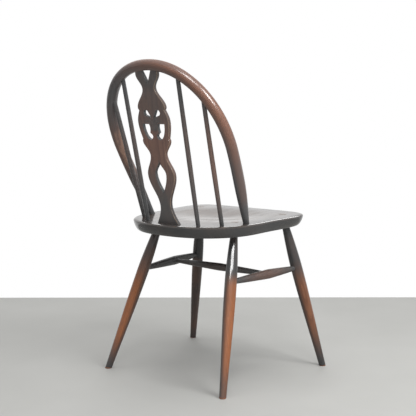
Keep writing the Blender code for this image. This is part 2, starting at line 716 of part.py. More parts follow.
def build_splat():
    foot = on_seat(0, SEAT_BACK_Y - SPLAT_INSET)
    crown = hoop_centre(0, HOOP_RISE)
    slope = (crown - foot).normalized()
    across = Vector((1, 0, 0))
    frame = Matrix((across, slope, across.cross(slope))).transposed().to_4x4()
    frame.translation = foot
    radial = Vector((0, math.sin(HOOP_RAKE), math.cos(HOOP_RAKE)))
    clear = (crown - foot).length - HOOP_RADIAL / 2 / slope.dot(radial)
    bottom = -SPLAT_SEAT_DEPTH
    top = clear + SPLAT_HOOP_DEPTH
    stretch = clear / SPLAT_DRAWN_HEIGHT
    outline = splat_outline(bottom / stretch, top / stretch)
    openings = [ogee_opening()]
    for opening in (leaf_opening(), drop_opening()):
        openings += [opening, mirrored(opening)]
    loops = [turn_to(outline, True)] + [turn_to(loop, False) for loop in openings]
    loops = [[(x, y * stretch) for x, y in loop] for loop in loops]
    add_piece("splat", fretwork(loops), frame, WALNUT_STAIN, SATIN_ROUGHNESS)
    deep = SPLAT_THICKNESS / 2 + CLEARANCE
    low = (-FOOT_HALF - CLEARANCE, bottom - CLEARANCE, -deep)
    cut(seat, "splat_mortise", box(low, (FOOT_HALF + CLEARANCE, OVERCUT, deep)), frame)
    for side_name, side in SIDES.items():
        inner, outer = sorted((side * (CLEFT_HALF - CLEARANCE), side * (HORN_HALF + CLEARANCE)))
        low = (inner, clear - OVERCUT, -deep)
        cut(hoop, f"splat_horn_{side_name}", box(low, (outer, top + CLEARANCE, deep)), frame)


# Assembly

clear_scene()
chair = bpy.data.objects.new("chair", None)
bpy.context.scene.collection.objects.link(chair)

seat = build_seat()
hoop = build_hoop()
joints = {}
for side_name, side in SIDES.items():
    front = build_leg(f"leg_front_{side_name}", side, SEAT_WIDTH / 2 - FRONT_LEG_FROM_SIDE,
                      SEAT_FRONT_Y + FRONT_LEG_FROM_FRONT, FRONT_SPLAY_SIDE, -FRONT_SPLAY_FORWARD,
                      STRETCHER_DROP)
    rear = build_leg(f"leg_rear_{side_name}", side, SEAT_BACK_WIDTH / 2 - REAR_LEG_FROM_SIDE,
                     SEAT_BACK_Y - REAR_LEG_FROM_BACK, REAR_SPLAY_SIDE, REAR_SPLAY_BACK,
                     STRETCHER_DROP + STRETCHER_FALL)
    joints[side_name] = build_side_stretcher(f"side_stretcher_{side_name}", rear, front)
    build_stick(f"stick_{side_name}_outer", side, OUTER_STICK_SEAT_ANGLE, OUTER_STICK_BOW_ANGLE)
    build_stick(f"stick_{side_name}_inner", side, INNER_STICK_SEAT_ANGLE, INNER_STICK_BOW_ANGLE)
build_cross_stretcher("cross_stretcher", joints["left"], joints["right"])
build_splat()
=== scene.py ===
import json
import math
from collections import namedtuple

import bmesh
import bpy
from mathutils import Matrix, Vector

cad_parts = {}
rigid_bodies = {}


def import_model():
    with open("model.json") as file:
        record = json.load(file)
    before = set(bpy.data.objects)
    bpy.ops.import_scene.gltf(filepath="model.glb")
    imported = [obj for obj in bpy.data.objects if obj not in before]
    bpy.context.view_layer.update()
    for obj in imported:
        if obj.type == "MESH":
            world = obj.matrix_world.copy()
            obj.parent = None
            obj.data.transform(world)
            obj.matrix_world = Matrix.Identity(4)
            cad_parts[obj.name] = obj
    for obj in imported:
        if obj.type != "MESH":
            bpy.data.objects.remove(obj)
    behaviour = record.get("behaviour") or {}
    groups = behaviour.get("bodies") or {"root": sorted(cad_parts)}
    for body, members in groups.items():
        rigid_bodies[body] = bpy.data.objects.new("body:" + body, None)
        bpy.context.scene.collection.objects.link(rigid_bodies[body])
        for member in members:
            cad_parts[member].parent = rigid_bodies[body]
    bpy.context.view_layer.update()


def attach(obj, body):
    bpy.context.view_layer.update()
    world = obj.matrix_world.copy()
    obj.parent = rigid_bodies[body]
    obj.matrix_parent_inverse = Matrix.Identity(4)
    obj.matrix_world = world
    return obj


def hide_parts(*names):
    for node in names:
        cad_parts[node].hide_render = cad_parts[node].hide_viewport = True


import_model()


# Seat: one thick board of open-grained hardwood with its grain from front to back. It is sawn to a
# rounded D, hollowed to a saddle on top and slanted off below, then stained dark walnut and lacquered.
# Legs, hoop, sticks and splat stand in sockets cut in it.

SEAT_HEIGHT = 0.433
SEAT_FALL = math.radians(1.5)
SEAT_WIDTH = 0.416
SEAT_BACK_WIDTH = 0.400
SEAT_DEPTH = 0.409
SEAT_BACK_Y = 0.177
SEAT_BACK_CURVE = 0.184
SEAT_FLARE_DEPTH = 0.140
SEAT_BACK_SQUARENESS = 2.35
SEAT_FRONT_SQUARENESS = 7.0
SEAT_THICKNESS = 0.031
SEAT_MIDDLE_Y = SEAT_BACK_Y - SEAT_BACK_CURVE
SEAT_FRONT_Y = SEAT_BACK_Y - SEAT_DEPTH
RIM_ROUND = 0.010
RIM_DROP = 0.005
RIM_UNDERCUT = 0.0115
RIM_FULLNESS = 1.5
SADDLE_DEPTH = 0.009
SADDLE_SIDE_MARGIN = 0.036
SADDLE_FRONT_MARGIN = 0.030
SADDLE_BACK_MARGIN = 0.089
RIDGE_HEIGHT = 0.004
RIDGE_WIDTH = 0.045
SEAT_FACETS = 264
CORNER_CROWDING = 0.6
SLANT_STEPS = 10
ROUND_STEPS = 8
SADDLE_STEPS = 44
SEAT_HEART = Vector((-0.045, 0.055, 0.0))
RIM_TONER = 0.97
RIM_FOOT_WEAR = 0.55
ROUND_TONER = 0.85
TOP_TONER = 0.46
TOP_EDGE_TONER = 0.36
TOP_EDGE_FROM = 0.55
FRONT_WEAR = 0.9
FRONT_WEAR_SPAN = (0.15, 0.22)
POLISHED = {"clear": 0.10, "dulled": 0.20, "gloss": 0.05, "sheen": 0.18}
SHARP_TURN = math.radians(35)
UP = Vector((0, 0, 1))

Spot = namedtuple("Spot", "point grain tone rub")

seat_stand = Matrix.Translation((0, 0, SEAT_HEIGHT)) @ Matrix.Rotation(-SEAT_FALL, 4, "X")
seat_up = seat_stand.to_3x3() @ UP


def smooth_step(low, high, value):
    share = min(1, max(0, (value - low) / (high - low)))
    return share * share * (3 - 2 * share)


def blend(first, second, share):
    return first + (second - first) * share


def seat_edge(bearing, inset):
    """Point of the seat's plan, by its bearing from the sitter's left round towards the back."""
    behind = math.sin(bearing) >= 0
    across = SEAT_BACK_WIDTH / 2 - inset
    along = (SEAT_BACK_CURVE if behind else SEAT_DEPTH - SEAT_BACK_CURVE) - inset
    power = SEAT_BACK_SQUARENESS if behind else SEAT_FRONT_SQUARENESS
    parts = (abs(math.cos(bearing)) / across) ** power + (abs(math.sin(bearing)) / along) ** power
    reach = parts ** (-1 / power)
    x = reach * math.cos(bearing)
    y = reach * math.sin(bearing)
    flare = 0 if behind else math.sin(math.pi / 2 * min(1, -y / SEAT_FLARE_DEPTH)) ** 2
    return x * blend(1, SEAT_WIDTH / SEAT_BACK_WIDTH, flare), SEAT_MIDDLE_Y + y


def seat_bearings():
    """Bearings all round, crowded at the front corners where the plan turns fast."""
    for i in range(SEAT_FACETS):
        turn = math.tau * i / SEAT_FACETS
        if math.sin(turn) >= 0:
            yield turn
            continue
        across = math.copysign(abs(math.cos(turn)) ** CORNER_CROWDING, math.cos(turn))
        yield math.atan2(-abs(math.sin(turn)) ** CORNER_CROWDING, across)


def saddle(x, y):
    """Depth of the hollow under the seat's top face."""
    front = SEAT_FRONT_Y + SADDLE_FRONT_MARGIN
    back = SEAT_BACK_Y - SADDLE_BACK_MARGIN
    half = (back - front) / 2
    ahead = (y - front - half) / half
    aside = x / (SEAT_WIDTH / 2 - SADDLE_SIDE_MARGIN)
    bowl = (1 + math.cos(math.pi * min(1, math.hypot(ahead, aside)))) / 2
    ridge = RIDGE_HEIGHT * math.exp(-((2 * x / RIDGE_WIDTH) ** 2)) * max(0, -ahead) * bowl
    return SADDLE_DEPTH * bowl - ridge


def on_seat(x, y, depth=0.0):
    return seat_stand @ Vector((x, y, -depth))


def seat_spot(x, y, depth, tone, rub):
    return Spot(on_seat(x, y, depth), Vector((x, -depth, y)) + SEAT_HEART, tone, rub)


def rim_profile():
    """Inset, depth, toner and rubbing of the rim's rings, up the slanted side and over to the top."""
    below = SEAT_THICKNESS - RIM_DROP
    power = 2 / RIM_FULLNESS
    for i in range(SLANT_STEPS):
        angle = math.pi / 2 * i / SLANT_STEPS
        inset = RIM_UNDERCUT * (1 - math.sin(angle) ** power)
        depth = RIM_DROP + below * math.cos(angle) ** power
        yield inset, depth, RIM_TONER, RIM_FOOT_WEAR if i == 0 else 0
    for i in range(ROUND_STEPS + 1):
        angle = math.pi / 2 * i / ROUND_STEPS
        inset = RIM_ROUND * (1 - math.cos(angle))
        yield inset, RIM_DROP * (1 - math.sin(angle)), ROUND_TONER, math.sin(2 * angle)


def skin(rings, peak=None):
    """Spots and faces of a closed skin through rings, flat on the first and on the last or up to a peak."""
    count = len(rings[0])
    spots = [spot for ring in rings for spot in ring]
    faces = [tuple(range(count))]
    for start in range(0, count * (len(rings) - 1), count):
        for j in range(count):
            k = (j + 1) % count
            faces.append((start + j, start + k, start + count + k, start + count + j))
    last = count * (len(rings) - 1)
    if peak is None:
        faces.append(tuple(range(last, last + count)))
    else:
        spots.append(peak)
        faces += [(last + j, last + (j + 1) % count, last + count) for j in range(count)]
    return spots, faces


def wood_piece(name, spots, faces, finish, slot, node):
    """One piece of wood that stands for a node, with its grain, its toner and painted shade, and its rubbed
    places and painted highlights.
    """
    mesh = bpy.data.meshes.new(name)
    mesh.from_pydata([spot.point for spot in spots], [], faces)
    grain = mesh.attributes.new("grain", "FLOAT_VECTOR", "POINT")
    grain.data.foreach_set("vector", [part for spot in spots for part in spot.grain])
    for label in ("tone", "rub"):
        layer = mesh.attributes.new(label, "FLOAT", "POINT")
        layer.data.foreach_set("value", [getattr(spot, label) for spot in spots])
    bm = bmesh.new()
    bm.from_mesh(mesh)
    bmesh.ops.recalc_face_normals(bm, faces=bm.faces)
    bm.to_mesh(mesh)
    bm.free()
    mesh.shade_smooth()
    mesh.set_sharp_from_angle(angle=SHARP_TURN)
    mesh.materials.append(finish)
    piece = bpy.data.objects.new(name, mesh)
    bpy.context.scene.collection.objects.link(piece)
    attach(piece, "root")
    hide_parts(node)


def wire(tree, socket, value):
    """Links a socket to another node's output, or sets it."""
    if isinstance(value, bpy.types.NodeSocket):
        tree.links.new(value, socket)
    else:
        socket.default_value = value


def reckon(tree, operation, *values):
    node = tree.nodes.new("ShaderNodeMath")
    node.operation = operation
    for socket, value in zip(node.inputs, values):
        wire(tree, socket, value)
    return node.outputs[0]


def stretched(tree, grain, features):
    """Grain coordinates with so many features to the metre: across, across and along."""
    node = tree.nodes.new("ShaderNodeVectorMath")
    node.operation = "MULTIPLY"
    wire(tree, node.inputs[0], grain)
    node.inputs[1].default_value = features
    return node.outputs[0]


def clouds(tree, grain, features, detail):
    node = tree.nodes.new("ShaderNodeTexNoise")
    wire(tree, node.inputs["Vector"], stretched(tree, grain, features))
    node.inputs["Scale"].default_value = 1
    node.inputs["Detail"].default_value = detail
    return node.outputs[0]


def ramp(tree, value, low, high, start=0.0, end=1.0):
    """Smooth change from start to end while the value goes from low to high."""
    node = tree.nodes.new("ShaderNodeMapRange")
    node.interpolation_type = "SMOOTHSTEP"
    for socket, setting in zip(node.inputs, (value, low, high, start, end)):
        wire(tree, socket, setting)
    return node.outputs[0]


def tint(tree, share, first, second):
    """Colour that goes from the first to the second."""
    node = tree.nodes.new("ShaderNodeMix")
    node.data_type = "RGBA"
    wire(tree, node.inputs[0], share)
    wire(tree, node.inputs[6], first)
    wire(tree, node.inputs[7], second)
    return node.outputs[2]


def new_effect(name, takes, gives):
    """Empty node group with these sockets, and its inner ends."""
    group = bpy.data.node_groups.new(name, "ShaderNodeTree")
    for label in takes:
        kind = "NodeSocketVector" if label == "Grain" else "NodeSocketFloat"
        group.interface.new_socket(label, in_out="INPUT", socket_type=kind)
    for label in gives:
        group.interface.new_socket(label, in_out="OUTPUT", socket_type="NodeSocketFloat")
    return group, group.nodes.new("NodeGroupInput").outputs, group.nodes.new("NodeGroupOutput").inputs


def use_effect(tree, group, **values):
    node = tree.nodes.new("ShaderNodeGroup")
    node.node_tree = group
    for label, value in values.items():
        wire(tree, node.inputs[label.replace("_", " ")], value)
    return node.outputs


def read_layer(tree, label):
    node = tree.nodes.new("ShaderNodeAttribute")
    node.attribute_name = label
    return node.outputs["Vector" if label == "grain" else "Fac"]


# Yearly rings round the heart of the log, pores drawn out along the grain, and broad clouds of stain.
# Features are counted to the metre, and the spans of a year run from 0 to 1.
WAVER_FEATURES = (11, 11, 3.2)
RING_WAVER = 0.022
LATE_WOOD_SPAN = (0.25, 0.9)
YEAR_END_SPAN = (0.94, 1)
EARLY_WOOD_SPAN = (0.05, 0.5)
LATE_PORES = 0.35
PORE_FEATURES = (1300, 1300, 42)
PORE_SPAN = (0.56, 0.7)
CLOUD_FEATURES = (16, 16, 7)

growth, taken, given = new_effect("growth_rings", ("Grain", "Ring Width"), ("Late Wood", "Pores", "Cloud"))
flat = growth.nodes.new("ShaderNodeVectorMath")
flat.operation = "LENGTH"
wire(growth, flat.inputs[0], stretched(growth, taken["Grain"], (1, 1, 0)))
waver = reckon(growth, "SUBTRACT", clouds(growth, taken["Grain"], WAVER_FEATURES, detail=2), 0.5)
radius = reckon(growth, "MULTIPLY_ADD", waver, RING_WAVER, flat.outputs["Value"])
year = reckon(growth, "FRACT", reckon(growth, "DIVIDE", radius, taken["Ring Width"]))
year_end = ramp(growth, year, *YEAR_END_SPAN, 1, 0)
late = reckon(growth, "MULTIPLY", ramp(growth, year, *LATE_WOOD_SPAN), year_end)
wire(growth, given["Late Wood"], late)
early = ramp(growth, year, *EARLY_WOOD_SPAN, 1, LATE_PORES)
pores = ramp(growth, clouds(growth, taken["Grain"], PORE_FEATURES, detail=1), *PORE_SPAN)
wire(growth, given["Pores"], reckon(growth, "MULTIPLY", pores, early))
wire(growth, given["Cloud"], clouds(growth, taken["Grain"], CLOUD_FEATURES, detail=4))

# Lacquer rubbed through to bare wood where a ridge is touched, and the same bare wood as a painted highlight
# on some edges.
PATCH_FEATURES = (75, 75, 34)
BARE_AND_LIT_SPAN = (0.16, 0.375)

rubbed, taken, given = new_effect("rubbed_and_lit_ridges", ("Grain", "Rub", "Amount"), ("Bare",))
patch = clouds(rubbed, taken["Grain"], PATCH_FEATURES, detail=4)
touched = reckon(rubbed, "MULTIPLY", taken["Rub"], taken["Amount"])
reach = reckon(rubbed, "MULTIPLY", touched, patch)
wire(rubbed, given["Bare"], ramp(rubbed, reach, *BARE_AND_LIT_SPAN))

# Film of lacquer over the stain: thinner and duller in smears, gone where it is rubbed through and under the
# painted highlights.
SMEAR_FEATURES = (38, 38, 15)
SMEAR_SPAN = (0.36, 0.72)
SMEARED_FILM = 0.7
BARE_ROUGHENING = 0.25

lacquer, taken, given = new_effect("lacquer_film", ("Grain", "Bare", "Clear", "Dulled", "Build"),
                                   ("Roughness", "Film"))
smear = ramp(lacquer, clouds(lacquer, taken["Grain"], SMEAR_FEATURES, detail=5), *SMEAR_SPAN)
dull = ramp(lacquer, smear, 0, 1, taken["Clear"], taken["Dulled"])
wire(lacquer, given["Roughness"], reckon(lacquer, "MULTIPLY_ADD", taken["Bare"], BARE_ROUGHENING, dull))
whole = ramp(lacquer, taken["Bare"], 0, 1, 1, 0)
built = reckon(lacquer, "MULTIPLY", taken["Build"], ramp(lacquer, smear, 0, 1, 1, SMEARED_FILM))
wire(lacquer, given["Film"], reckon(lacquer, "MULTIPLY", whole, built))

# How far the clouds shift stain and toner, and how dark and deep pores and late wood are.
STAIN_DRIFT = 0.9
TONER_DRIFT = 0.55
PORE_TONER = 0.65
PORE_DEPTH = 0.00003
LATE_WOOD_DEPTH = 0.5
GRAIN_RELIEF = 0.3


def stained_wood(name, *, pale, deep, toner, bare, ring_width, rubbing, clear, dulled, gloss, build, sheen):
    """Lacquered wood: stain over the grain, dark toner and painted shade over that, and bare wood on rubbed
    ridges and painted highlights.

    The stain runs from pale to deep over a year. Clear and dulled are the roughness of the wood's own sheen,
    gloss is that of the lacquer over it, and build is the lacquer's thickness. Bare is the colour of bare
    wood, which also makes the painted highlights.
    """
    finish = bpy.data.materials.new(name)
    finish.use_nodes = True
    tree = finish.node_tree
    surface = tree.nodes["Principled BSDF"].inputs
    grain = read_layer(tree, "grain")
    rings = use_effect(tree, growth, Grain=grain, Ring_Width=ring_width)
    worn_and_lit = use_effect(tree, rubbed, Grain=grain, Rub=read_layer(tree, "rub"), Amount=rubbing)["Bare"]
    film = use_effect(tree, lacquer, Grain=grain, Bare=worn_and_lit, Clear=clear, Dulled=dulled, Build=build)
    drift = reckon(tree, "MULTIPLY_ADD", rings["Cloud"], STAIN_DRIFT, -STAIN_DRIFT / 2)
    stain = tint(tree, reckon(tree, "ADD", rings["Late Wood"], drift), (*pale, 1), (*deep, 1))
    cover = reckon(tree, "MULTIPLY_ADD", drift, TONER_DRIFT, read_layer(tree, "tone"))
    stain = tint(tree, cover, stain, (*toner, 1))
    stain = tint(tree, reckon(tree, "MULTIPLY", rings["Pores"], PORE_TONER), stain, (*toner, 1))
    wire(tree, surface["Base Color"], tint(tree, worn_and_lit, stain, (*bare, 1)))
    wire(tree, surface["Roughness"], film["Roughness"])
    wire(tree, surface["Coat Weight"], film["Film"])
    surface["Coat Roughness"].default_value = gloss
    surface["Specular IOR Level"].default_value = sheen
    bump = tree.nodes.new("ShaderNodeBump")
    bump.inputs["Strength"].default_value = GRAIN_RELIEF
    bump.inputs["Distance"].default_value = PORE_DEPTH
    hollow = reckon(tree, "MULTIPLY_ADD", rings["Late Wood"], LATE_WOOD_DEPTH, rings["Pores"])
    wire(tree, bump.inputs["Height"], reckon(tree, "MULTIPLY", hollow, -1.0))
    wire(tree, surface["Normal"], bump.outputs["Normal"])
    return finish


bearings = list(seat_bearings())
rings = []
for inset, depth, tone, rub in rim_profile():
    edge = [seat_edge(bearing, inset) for bearing in bearings]
    rings.append([seat_spot(x, y, depth, tone, rub) for x, y in edge])
edge = [seat_edge(bearing, RIM_ROUND) for bearing in bearings]
for i in range(1, SADDLE_STEPS):
    share = 1 - i / SADDLE_STEPS
    tone = TOP_TONER + TOP_EDGE_TONER * smooth_step(TOP_EDGE_FROM, 1, share)
    ring = []
    for x, y in edge:
        x = x * share
        y = blend(SEAT_MIDDLE_Y, y, share)
        rub = FRONT_WEAR * smooth_step(*FRONT_WEAR_SPAN, -y)
        ring.append(seat_spot(x, y, saddle(x, y), tone, rub))
    rings.append(ring)
middle = seat_spot(0, SEAT_MIDDLE_Y, saddle(0, SEAT_MIDDLE_Y), TOP_TONER, 0)
seat_finish = stained_wood(
    "walnut_seat", pale=(0.155, 0.090, 0.053), deep=(0.086, 0.048, 0.030), toner=(0.064, 0.064, 0.065),
    bare=(0.20, 0.14, 0.10), ring_width=0.0065, rubbing=0.40, build=0.40, **POLISHED)
wood_piece("saddled_seat", *skin(rings, middle), seat_finish, "walnut_stain", "seat")


# Legs: four plain turned legs, swelled below the seat and tapered to the foot, splayed to the corners.
# Straight-grained hardwood, stained red brown and sprayed darker at both ends, with painted shade down one
# side.
# Each tenon goes right through the seat, and its end is planed off and lacquered with the saddle.

LEG_FOOT_DIAMETER = 0.0185
LEG_SWELL_DIAMETER = 0.0326
LEG_SWELL_DROP = 0.133
LEG_TENON_DIAMETER = 0.0204
LEG_FACETS = 48
LEG_STEPS = 40
FOOT_CHAMFER = 0.0013
TENON_PROUD = 0.0002
TENON_HEAD = 0.008
TENON_SEAM = 0.0003
TENON_TONER = 0.10
LAND = 0.002
SADDLE_TRIES = 4
LEG_HEART = Vector((0.034, 0.021, 0.0))
NEXT_LEG_HEART = Vector((0.009, -0.006, 0.5))
SIDES = {"left": 1, "right": -1}
LegPlace = namedtuple("LegPlace", "across along splay_side splay_back")
LEG_PLACES = {
    "front": LegPlace(0.158, SEAT_FRONT_Y + 0.0653, 0.0878, -0.0665),
    "rear": LegPlace(SEAT_BACK_WIDTH / 2 - 0.0629, SEAT_BACK_Y - 0.1368, 0.0723, 0.1372),
}
# Painted shade: more toner down the side of each leg that turns from the light.
LEG_SIDE_SHADE = 0.88
LEG_SIDE_BLEND = 0.95
SATIN = {"clear": 0.40, "dulled": 0.55, "sheen": 0.08}

# Least toner, toner at the foot and where it ends, and where the top's begins and is full, as shares of the
# length; then the bearing of the side with painted shade, in degrees, and how far round the leg it reaches.
LegToner = namedtuple("LegToner", "least foot foot_end top_start top_end dark_side dark_from")
LEG_TONERS_AND_SHADE = {
    "front_left": LegToner(0.40, 1.00, 0.50, 0.52, 0.72, 130, -0.7),
    "front_right": LegToner(0.42, 1.00, 0.54, 0.44, 0.77, 40, 0.0),
    "rear_left": LegToner(0.12, 1.00, 0.32, 0.46, 0.90, 220, 0.0),
    "rear_right": LegToner(0.06, 0.66, 0.27, 0.65, 0.76, 40, 0.0),
}


def axis_frame(start, end):
    """Frame at start with its Z along the way to end."""
    return Matrix.Translation(start) @ (end - start).to_track_quat("Z", "Y").to_matrix().to_4x4()


def meet(point, direction, origin, normal):
    """Where a line meets a plane."""
    return point + direction * ((origin - point).dot(normal) / direction.dot(normal))


def up_to_seat(point, direction, proud):
    """Where a line comes out of the saddled top, plus a little."""
    back = seat_stand.inverted()
    rise = (back.to_3x3() @ direction).z
    for _ in range(SADDLE_TRIES):
        local = back @ point
        point = point + direction * ((proud - saddle(local.x, local.y) - local.z) / rise)
    return point


def cut_off(ring, surface, along, *place):
    """The ring moved along its bar to where a surface cuts the bar off."""
    return [spot._replace(point=surface(spot.point, along, *place)) for spot in ring]


def slant(radius, direction, normal):
    """Length along a bar of this radius over which a plane with this normal cuts it, with a land beyond."""
    cosine = abs(direction.normalized().dot(normal))
    return radius * math.sqrt(1 / cosine**2 - 1) + LAND


def ease(share):
    """Gentle rise from 0 to 1 that starts sloping and ends level."""
    return (math.sin(math.pi * share / 2) + (1 - math.cos(math.pi * share)) / 2) / 2


def turned_ring(stand, radius, distance, facets, heart, tone, rub=0.0):
    """Ring of spots round a turned bar."""
    ring = []
    for i in range(facets):
        angle = math.tau * i / facets
        local = Vector((radius * math.cos(angle), radius * math.sin(angle), distance))
        ring.append(Spot(stand @ local, local + heart, tone, rub))
    return ring


def leg_line(side_name, place):
    """Foot and top of a leg's axis."""
    side = SIDES[side_name]
    stood = LEG_PLACES[place]
    top = on_seat(side * stood.across, stood.along, SEAT_THICKNESS)
    return Vector((top.x + side * stood.splay_side, top.y + stood.splay_back, 0)), top


def leg_tone(sprayed_and_shaded, share):
    """Toner from the foot (0) to the seat (1)."""
    low = sprayed_and_shaded.foot * (1 - smooth_step(0, sprayed_and_shaded.foot_end, share))
    return max(sprayed_and_shaded.least, low, smooth_step(sprayed_and_shaded.top_start, sprayed_and_shaded.top_end, share))


def shaded_ring(ring, centre, sprayed_and_shaded):
    """The ring with painted shade, as more toner, on one side."""
    bearing = math.radians(sprayed_and_shaded.dark_side)
    dark_side = Vector((math.cos(bearing), math.sin(bearing), 0))
    shaded = []
    for spot in ring:
        facing = (spot.point - centre).normalized().dot(dark_side)
        share = smooth_step(sprayed_and_shaded.dark_from, sprayed_and_shaded.dark_from + LEG_SIDE_BLEND, facing)
        shaded.append(spot._replace(tone=blend(spot.tone, max(spot.tone, LEG_SIDE_SHADE), share)))
    return shaded


leg_finish = stained_wood(
    "red_brown_legs", pale=(0.405, 0.142, 0.050), deep=(0.290, 0.095, 0.033), toner=(0.056, 0.056, 0.057),
    bare=(0.30, 0.13, 0.07), ring_width=0.0034, rubbing=0.75, gloss=0.07, build=0.60, **SATIN)
legs = [(side_name, place) for side_name in SIDES for place in LEG_PLACES]
for number, (side_name, place) in enumerate(legs):
    foot, top = leg_line(side_name, place)
    along = (top - foot).normalized()
    length = (top - foot).length
    stand = axis_frame(foot, top)
    sprayed_and_shaded = LEG_TONERS_AND_SHADE[f"{place}_{side_name}"]
    heart = LEG_HEART + NEXT_LEG_HEART * number
    neck = length - slant(LEG_TENON_DIAMETER / 2, along, seat_up)
    crest = length - LEG_SWELL_DROP
    first = slant(LEG_FOOT_DIAMETER / 2, along, UP)
    rings = []
    for height, shrink in ((0, FOOT_CHAMFER), (FOOT_CHAMFER, 0)):
        radius = LEG_FOOT_DIAMETER / 2 - shrink
        ring = turned_ring(stand, radius, 0, LEG_FACETS, heart, leg_tone(sprayed_and_shaded, 0), rub=1)
        rings.append(cut_off(ring, meet, along, UP * height, UP))
    for i in range(LEG_STEPS + 1):
        distance = blend(first, neck, i / LEG_STEPS)
        if distance < crest:
            diameter = blend(LEG_FOOT_DIAMETER, LEG_SWELL_DIAMETER, ease(distance / crest))
        else:
            fall = math.cos(math.pi / 2 * (distance - crest) / (neck - crest))
            diameter = blend(LEG_TENON_DIAMETER, LEG_SWELL_DIAMETER, fall)
        tone = leg_tone(sprayed_and_shaded, distance / length)
        ring = turned_ring(stand, diameter / 2, distance, LEG_FACETS, heart, tone)
        rings.append(shaded_ring(ring, foot + along * distance, sprayed_and_shaded))
    tenon = turned_ring(stand, LEG_TENON_DIAMETER / 2, length, LEG_FACETS, heart, TENON_TONER)
    stub, low, high = (cut_off(tenon, up_to_seat, along, proud)
                       for proud in (-TENON_HEAD - TENON_SEAM, -TENON_HEAD, TENON_PROUD))
    tip = Spot(up_to_seat(top, along, TENON_PROUD), Vector((0, 0, length)) + heart, TENON_TONER, 0)
    node = f"leg_{place}_{side_name}"
    wood_piece(f"turned_{node}", *skin([*rings, stub]), leg_finish, "red_brown_stain", node)
    wood_piece(f"tenon_{node}", *skin([low, high], tip), seat_finish, "walnut_stain", node)


# Leg wedges: a thin slip of paler hardwood driven from above into a saw cut across each leg's tenon.
# It spreads the tenon in its socket, and its head is planed off with the saddle and lacquered over.

WEDGE_HEAD = 0.0030
WEDGE_TIP = 0.0012
WEDGE_LENGTH = 0.016
WEDGE_PROUD = 0.00035
WEDGE_STEPS = 8
WEDGE_TONER = 0.20
LEG_WEDGE_HEART = Vector((0.020, 0.012, 0.0))
NEXT_WEDGE_HEART = Vector((0.0, 0.004, 0.1))


def wedge_rings(tip, out, diameter, heart):
    """Spots of a wedge's foot and head, its head still level with the tip."""
    across = Vector((1, 0, 0))
    across = (across - out * across.dot(out)).normalized()
    thick = out.cross(across)
    chord = math.sqrt(diameter**2 - WEDGE_HEAD**2) / 2
    steps = [chord * (2 * i / WEDGE_STEPS - 1) for i in range(WEDGE_STEPS + 1)]
    rings = []
    for depth, width in ((WEDGE_LENGTH, WEDGE_TIP), (0, WEDGE_HEAD)):
        plan = [(x, -width / 2) for x in steps] + [(x, width / 2) for x in reversed(steps)]
        ring = []
        for x, y in plan:
            point = tip + across * x + thick * y - out * depth
            ring.append(Spot(point, Vector((x, y, -depth)) + heart, WEDGE_TONER, 0))
        rings.append(ring)
    return rings


wedge_finish = stained_wood(
    "pale_wedges", pale=(0.270, 0.165, 0.100), deep=(0.185, 0.112, 0.068), toner=(0.060, 0.056, 0.052),
    bare=(0.30, 0.18, 0.10), ring_width=0.0022, rubbing=0.4, build=0.28, **POLISHED)
for number, (side_name, place) in enumerate(legs):
    foot, top = leg_line(side_name, place)
    along = (top - foot).normalized()
    heart = LEG_WEDGE_HEART + NEXT_WEDGE_HEART * number
    low, high = wedge_rings(up_to_seat(top, along, 0), along, LEG_TENON_DIAMETER, heart)
    high = cut_off(high, up_to_seat, along, WEDGE_PROUD)
    node = f"leg_wedge_{place}_{side_name}"
    wood_piece(f"slip_{node}", *skin([low, high]), wedge_finish, "pale_wedge_wood", node)


# Stretchers: an H of three turned bars, each swelled to its middle in two long cones.
# Straight-grained hardwood under near-black toner, glued into blind sockets in the legs and in each other.

STRETCHER_DROP = 0.149
STRETCHER_FALL = 0.004
STRETCHER_BITE = 0.003
SIDE_STRETCHER_END = 0.0150
SIDE_STRETCHER_SWELL = 0.0262
CROSS_SHARE = 0.55
CROSS_STRETCHER_END = 0.0124
CROSS_STRETCHER_SWELL = 0.0220
CROSS_SWELL_SHARE = 0.5
SWELL_FULLNESS = 0.85
CREST_ROUND = 0.006
STRETCHER_FACETS = 40
STRETCHER_STEPS = 56
SIDE_THINNED = {"left": 0.10, "right": 0.66}
CROSS_THINNED = 0.2
SIDE_HEARTS = {"left": Vector((0.026, 0.018, 1.1)), "right": Vector((0.026, -0.018, 0.3))}
CROSS_HEART = Vector((0.022, -0.015, 2.0))


def swelled_rings(start, end, ends, swell, parallel, swell_share, facets, steps, heart, thinned):
    """Rings of a bar with straight ends for its sockets and a swelling where its toner is thinned."""
    stand = axis_frame(start, end)
    length = (end - start).length
    crest = length * swell_share
    far = length - parallel

    def ring_at(distance, diameter):
        tone = 1 - thinned * math.sin(math.pi * distance / length) ** 2
        return turned_ring(stand, diameter / 2, distance, facets, heart, tone)

    rings = [ring_at(0, ends)]
    for i in range(steps + 1):
        distance = blend(parallel, far, i / steps)
        reach = crest - parallel if distance < crest else far - crest
        away = math.hypot(distance - crest, CREST_ROUND) - CREST_ROUND
        share = max(0, 1 - away / (math.hypot(reach, CREST_ROUND) - CREST_ROUND))
        rings.append(ring_at(distance, blend(ends, swell, share**SWELL_FULLNESS)))
    return [*rings, ring_at(length, ends)]


def stretcher(node, first, last, ends, swell, swell_share, socket_diameter, heart, thinned):
    """Bar between two points on the axes of the pieces that hold it; gives the middle of its swelling."""
    along = (last - first).normalized()
    start = first - along * STRETCHER_BITE
    end = last + along * STRETCHER_BITE
    parallel = (socket_diameter + ends) / 2 + STRETCHER_BITE
    rings = swelled_rings(start, end, ends, swell, parallel, swell_share, STRETCHER_FACETS, STRETCHER_STEPS,
                          heart, thinned)
    wood_piece(f"turned_{node}", *skin(rings), stretcher_finish, "black_brown_stain", node)
    return blend(start, end, swell_share)


def leg_joint(side_name, place):
    """Where a side stretcher's axis meets a leg's."""
    foot, top = leg_line(side_name, place)
    level = SEAT_HEIGHT - STRETCHER_DROP - (STRETCHER_FALL if place == "rear" else 0)
    return blend(foot, top, level / top.z)


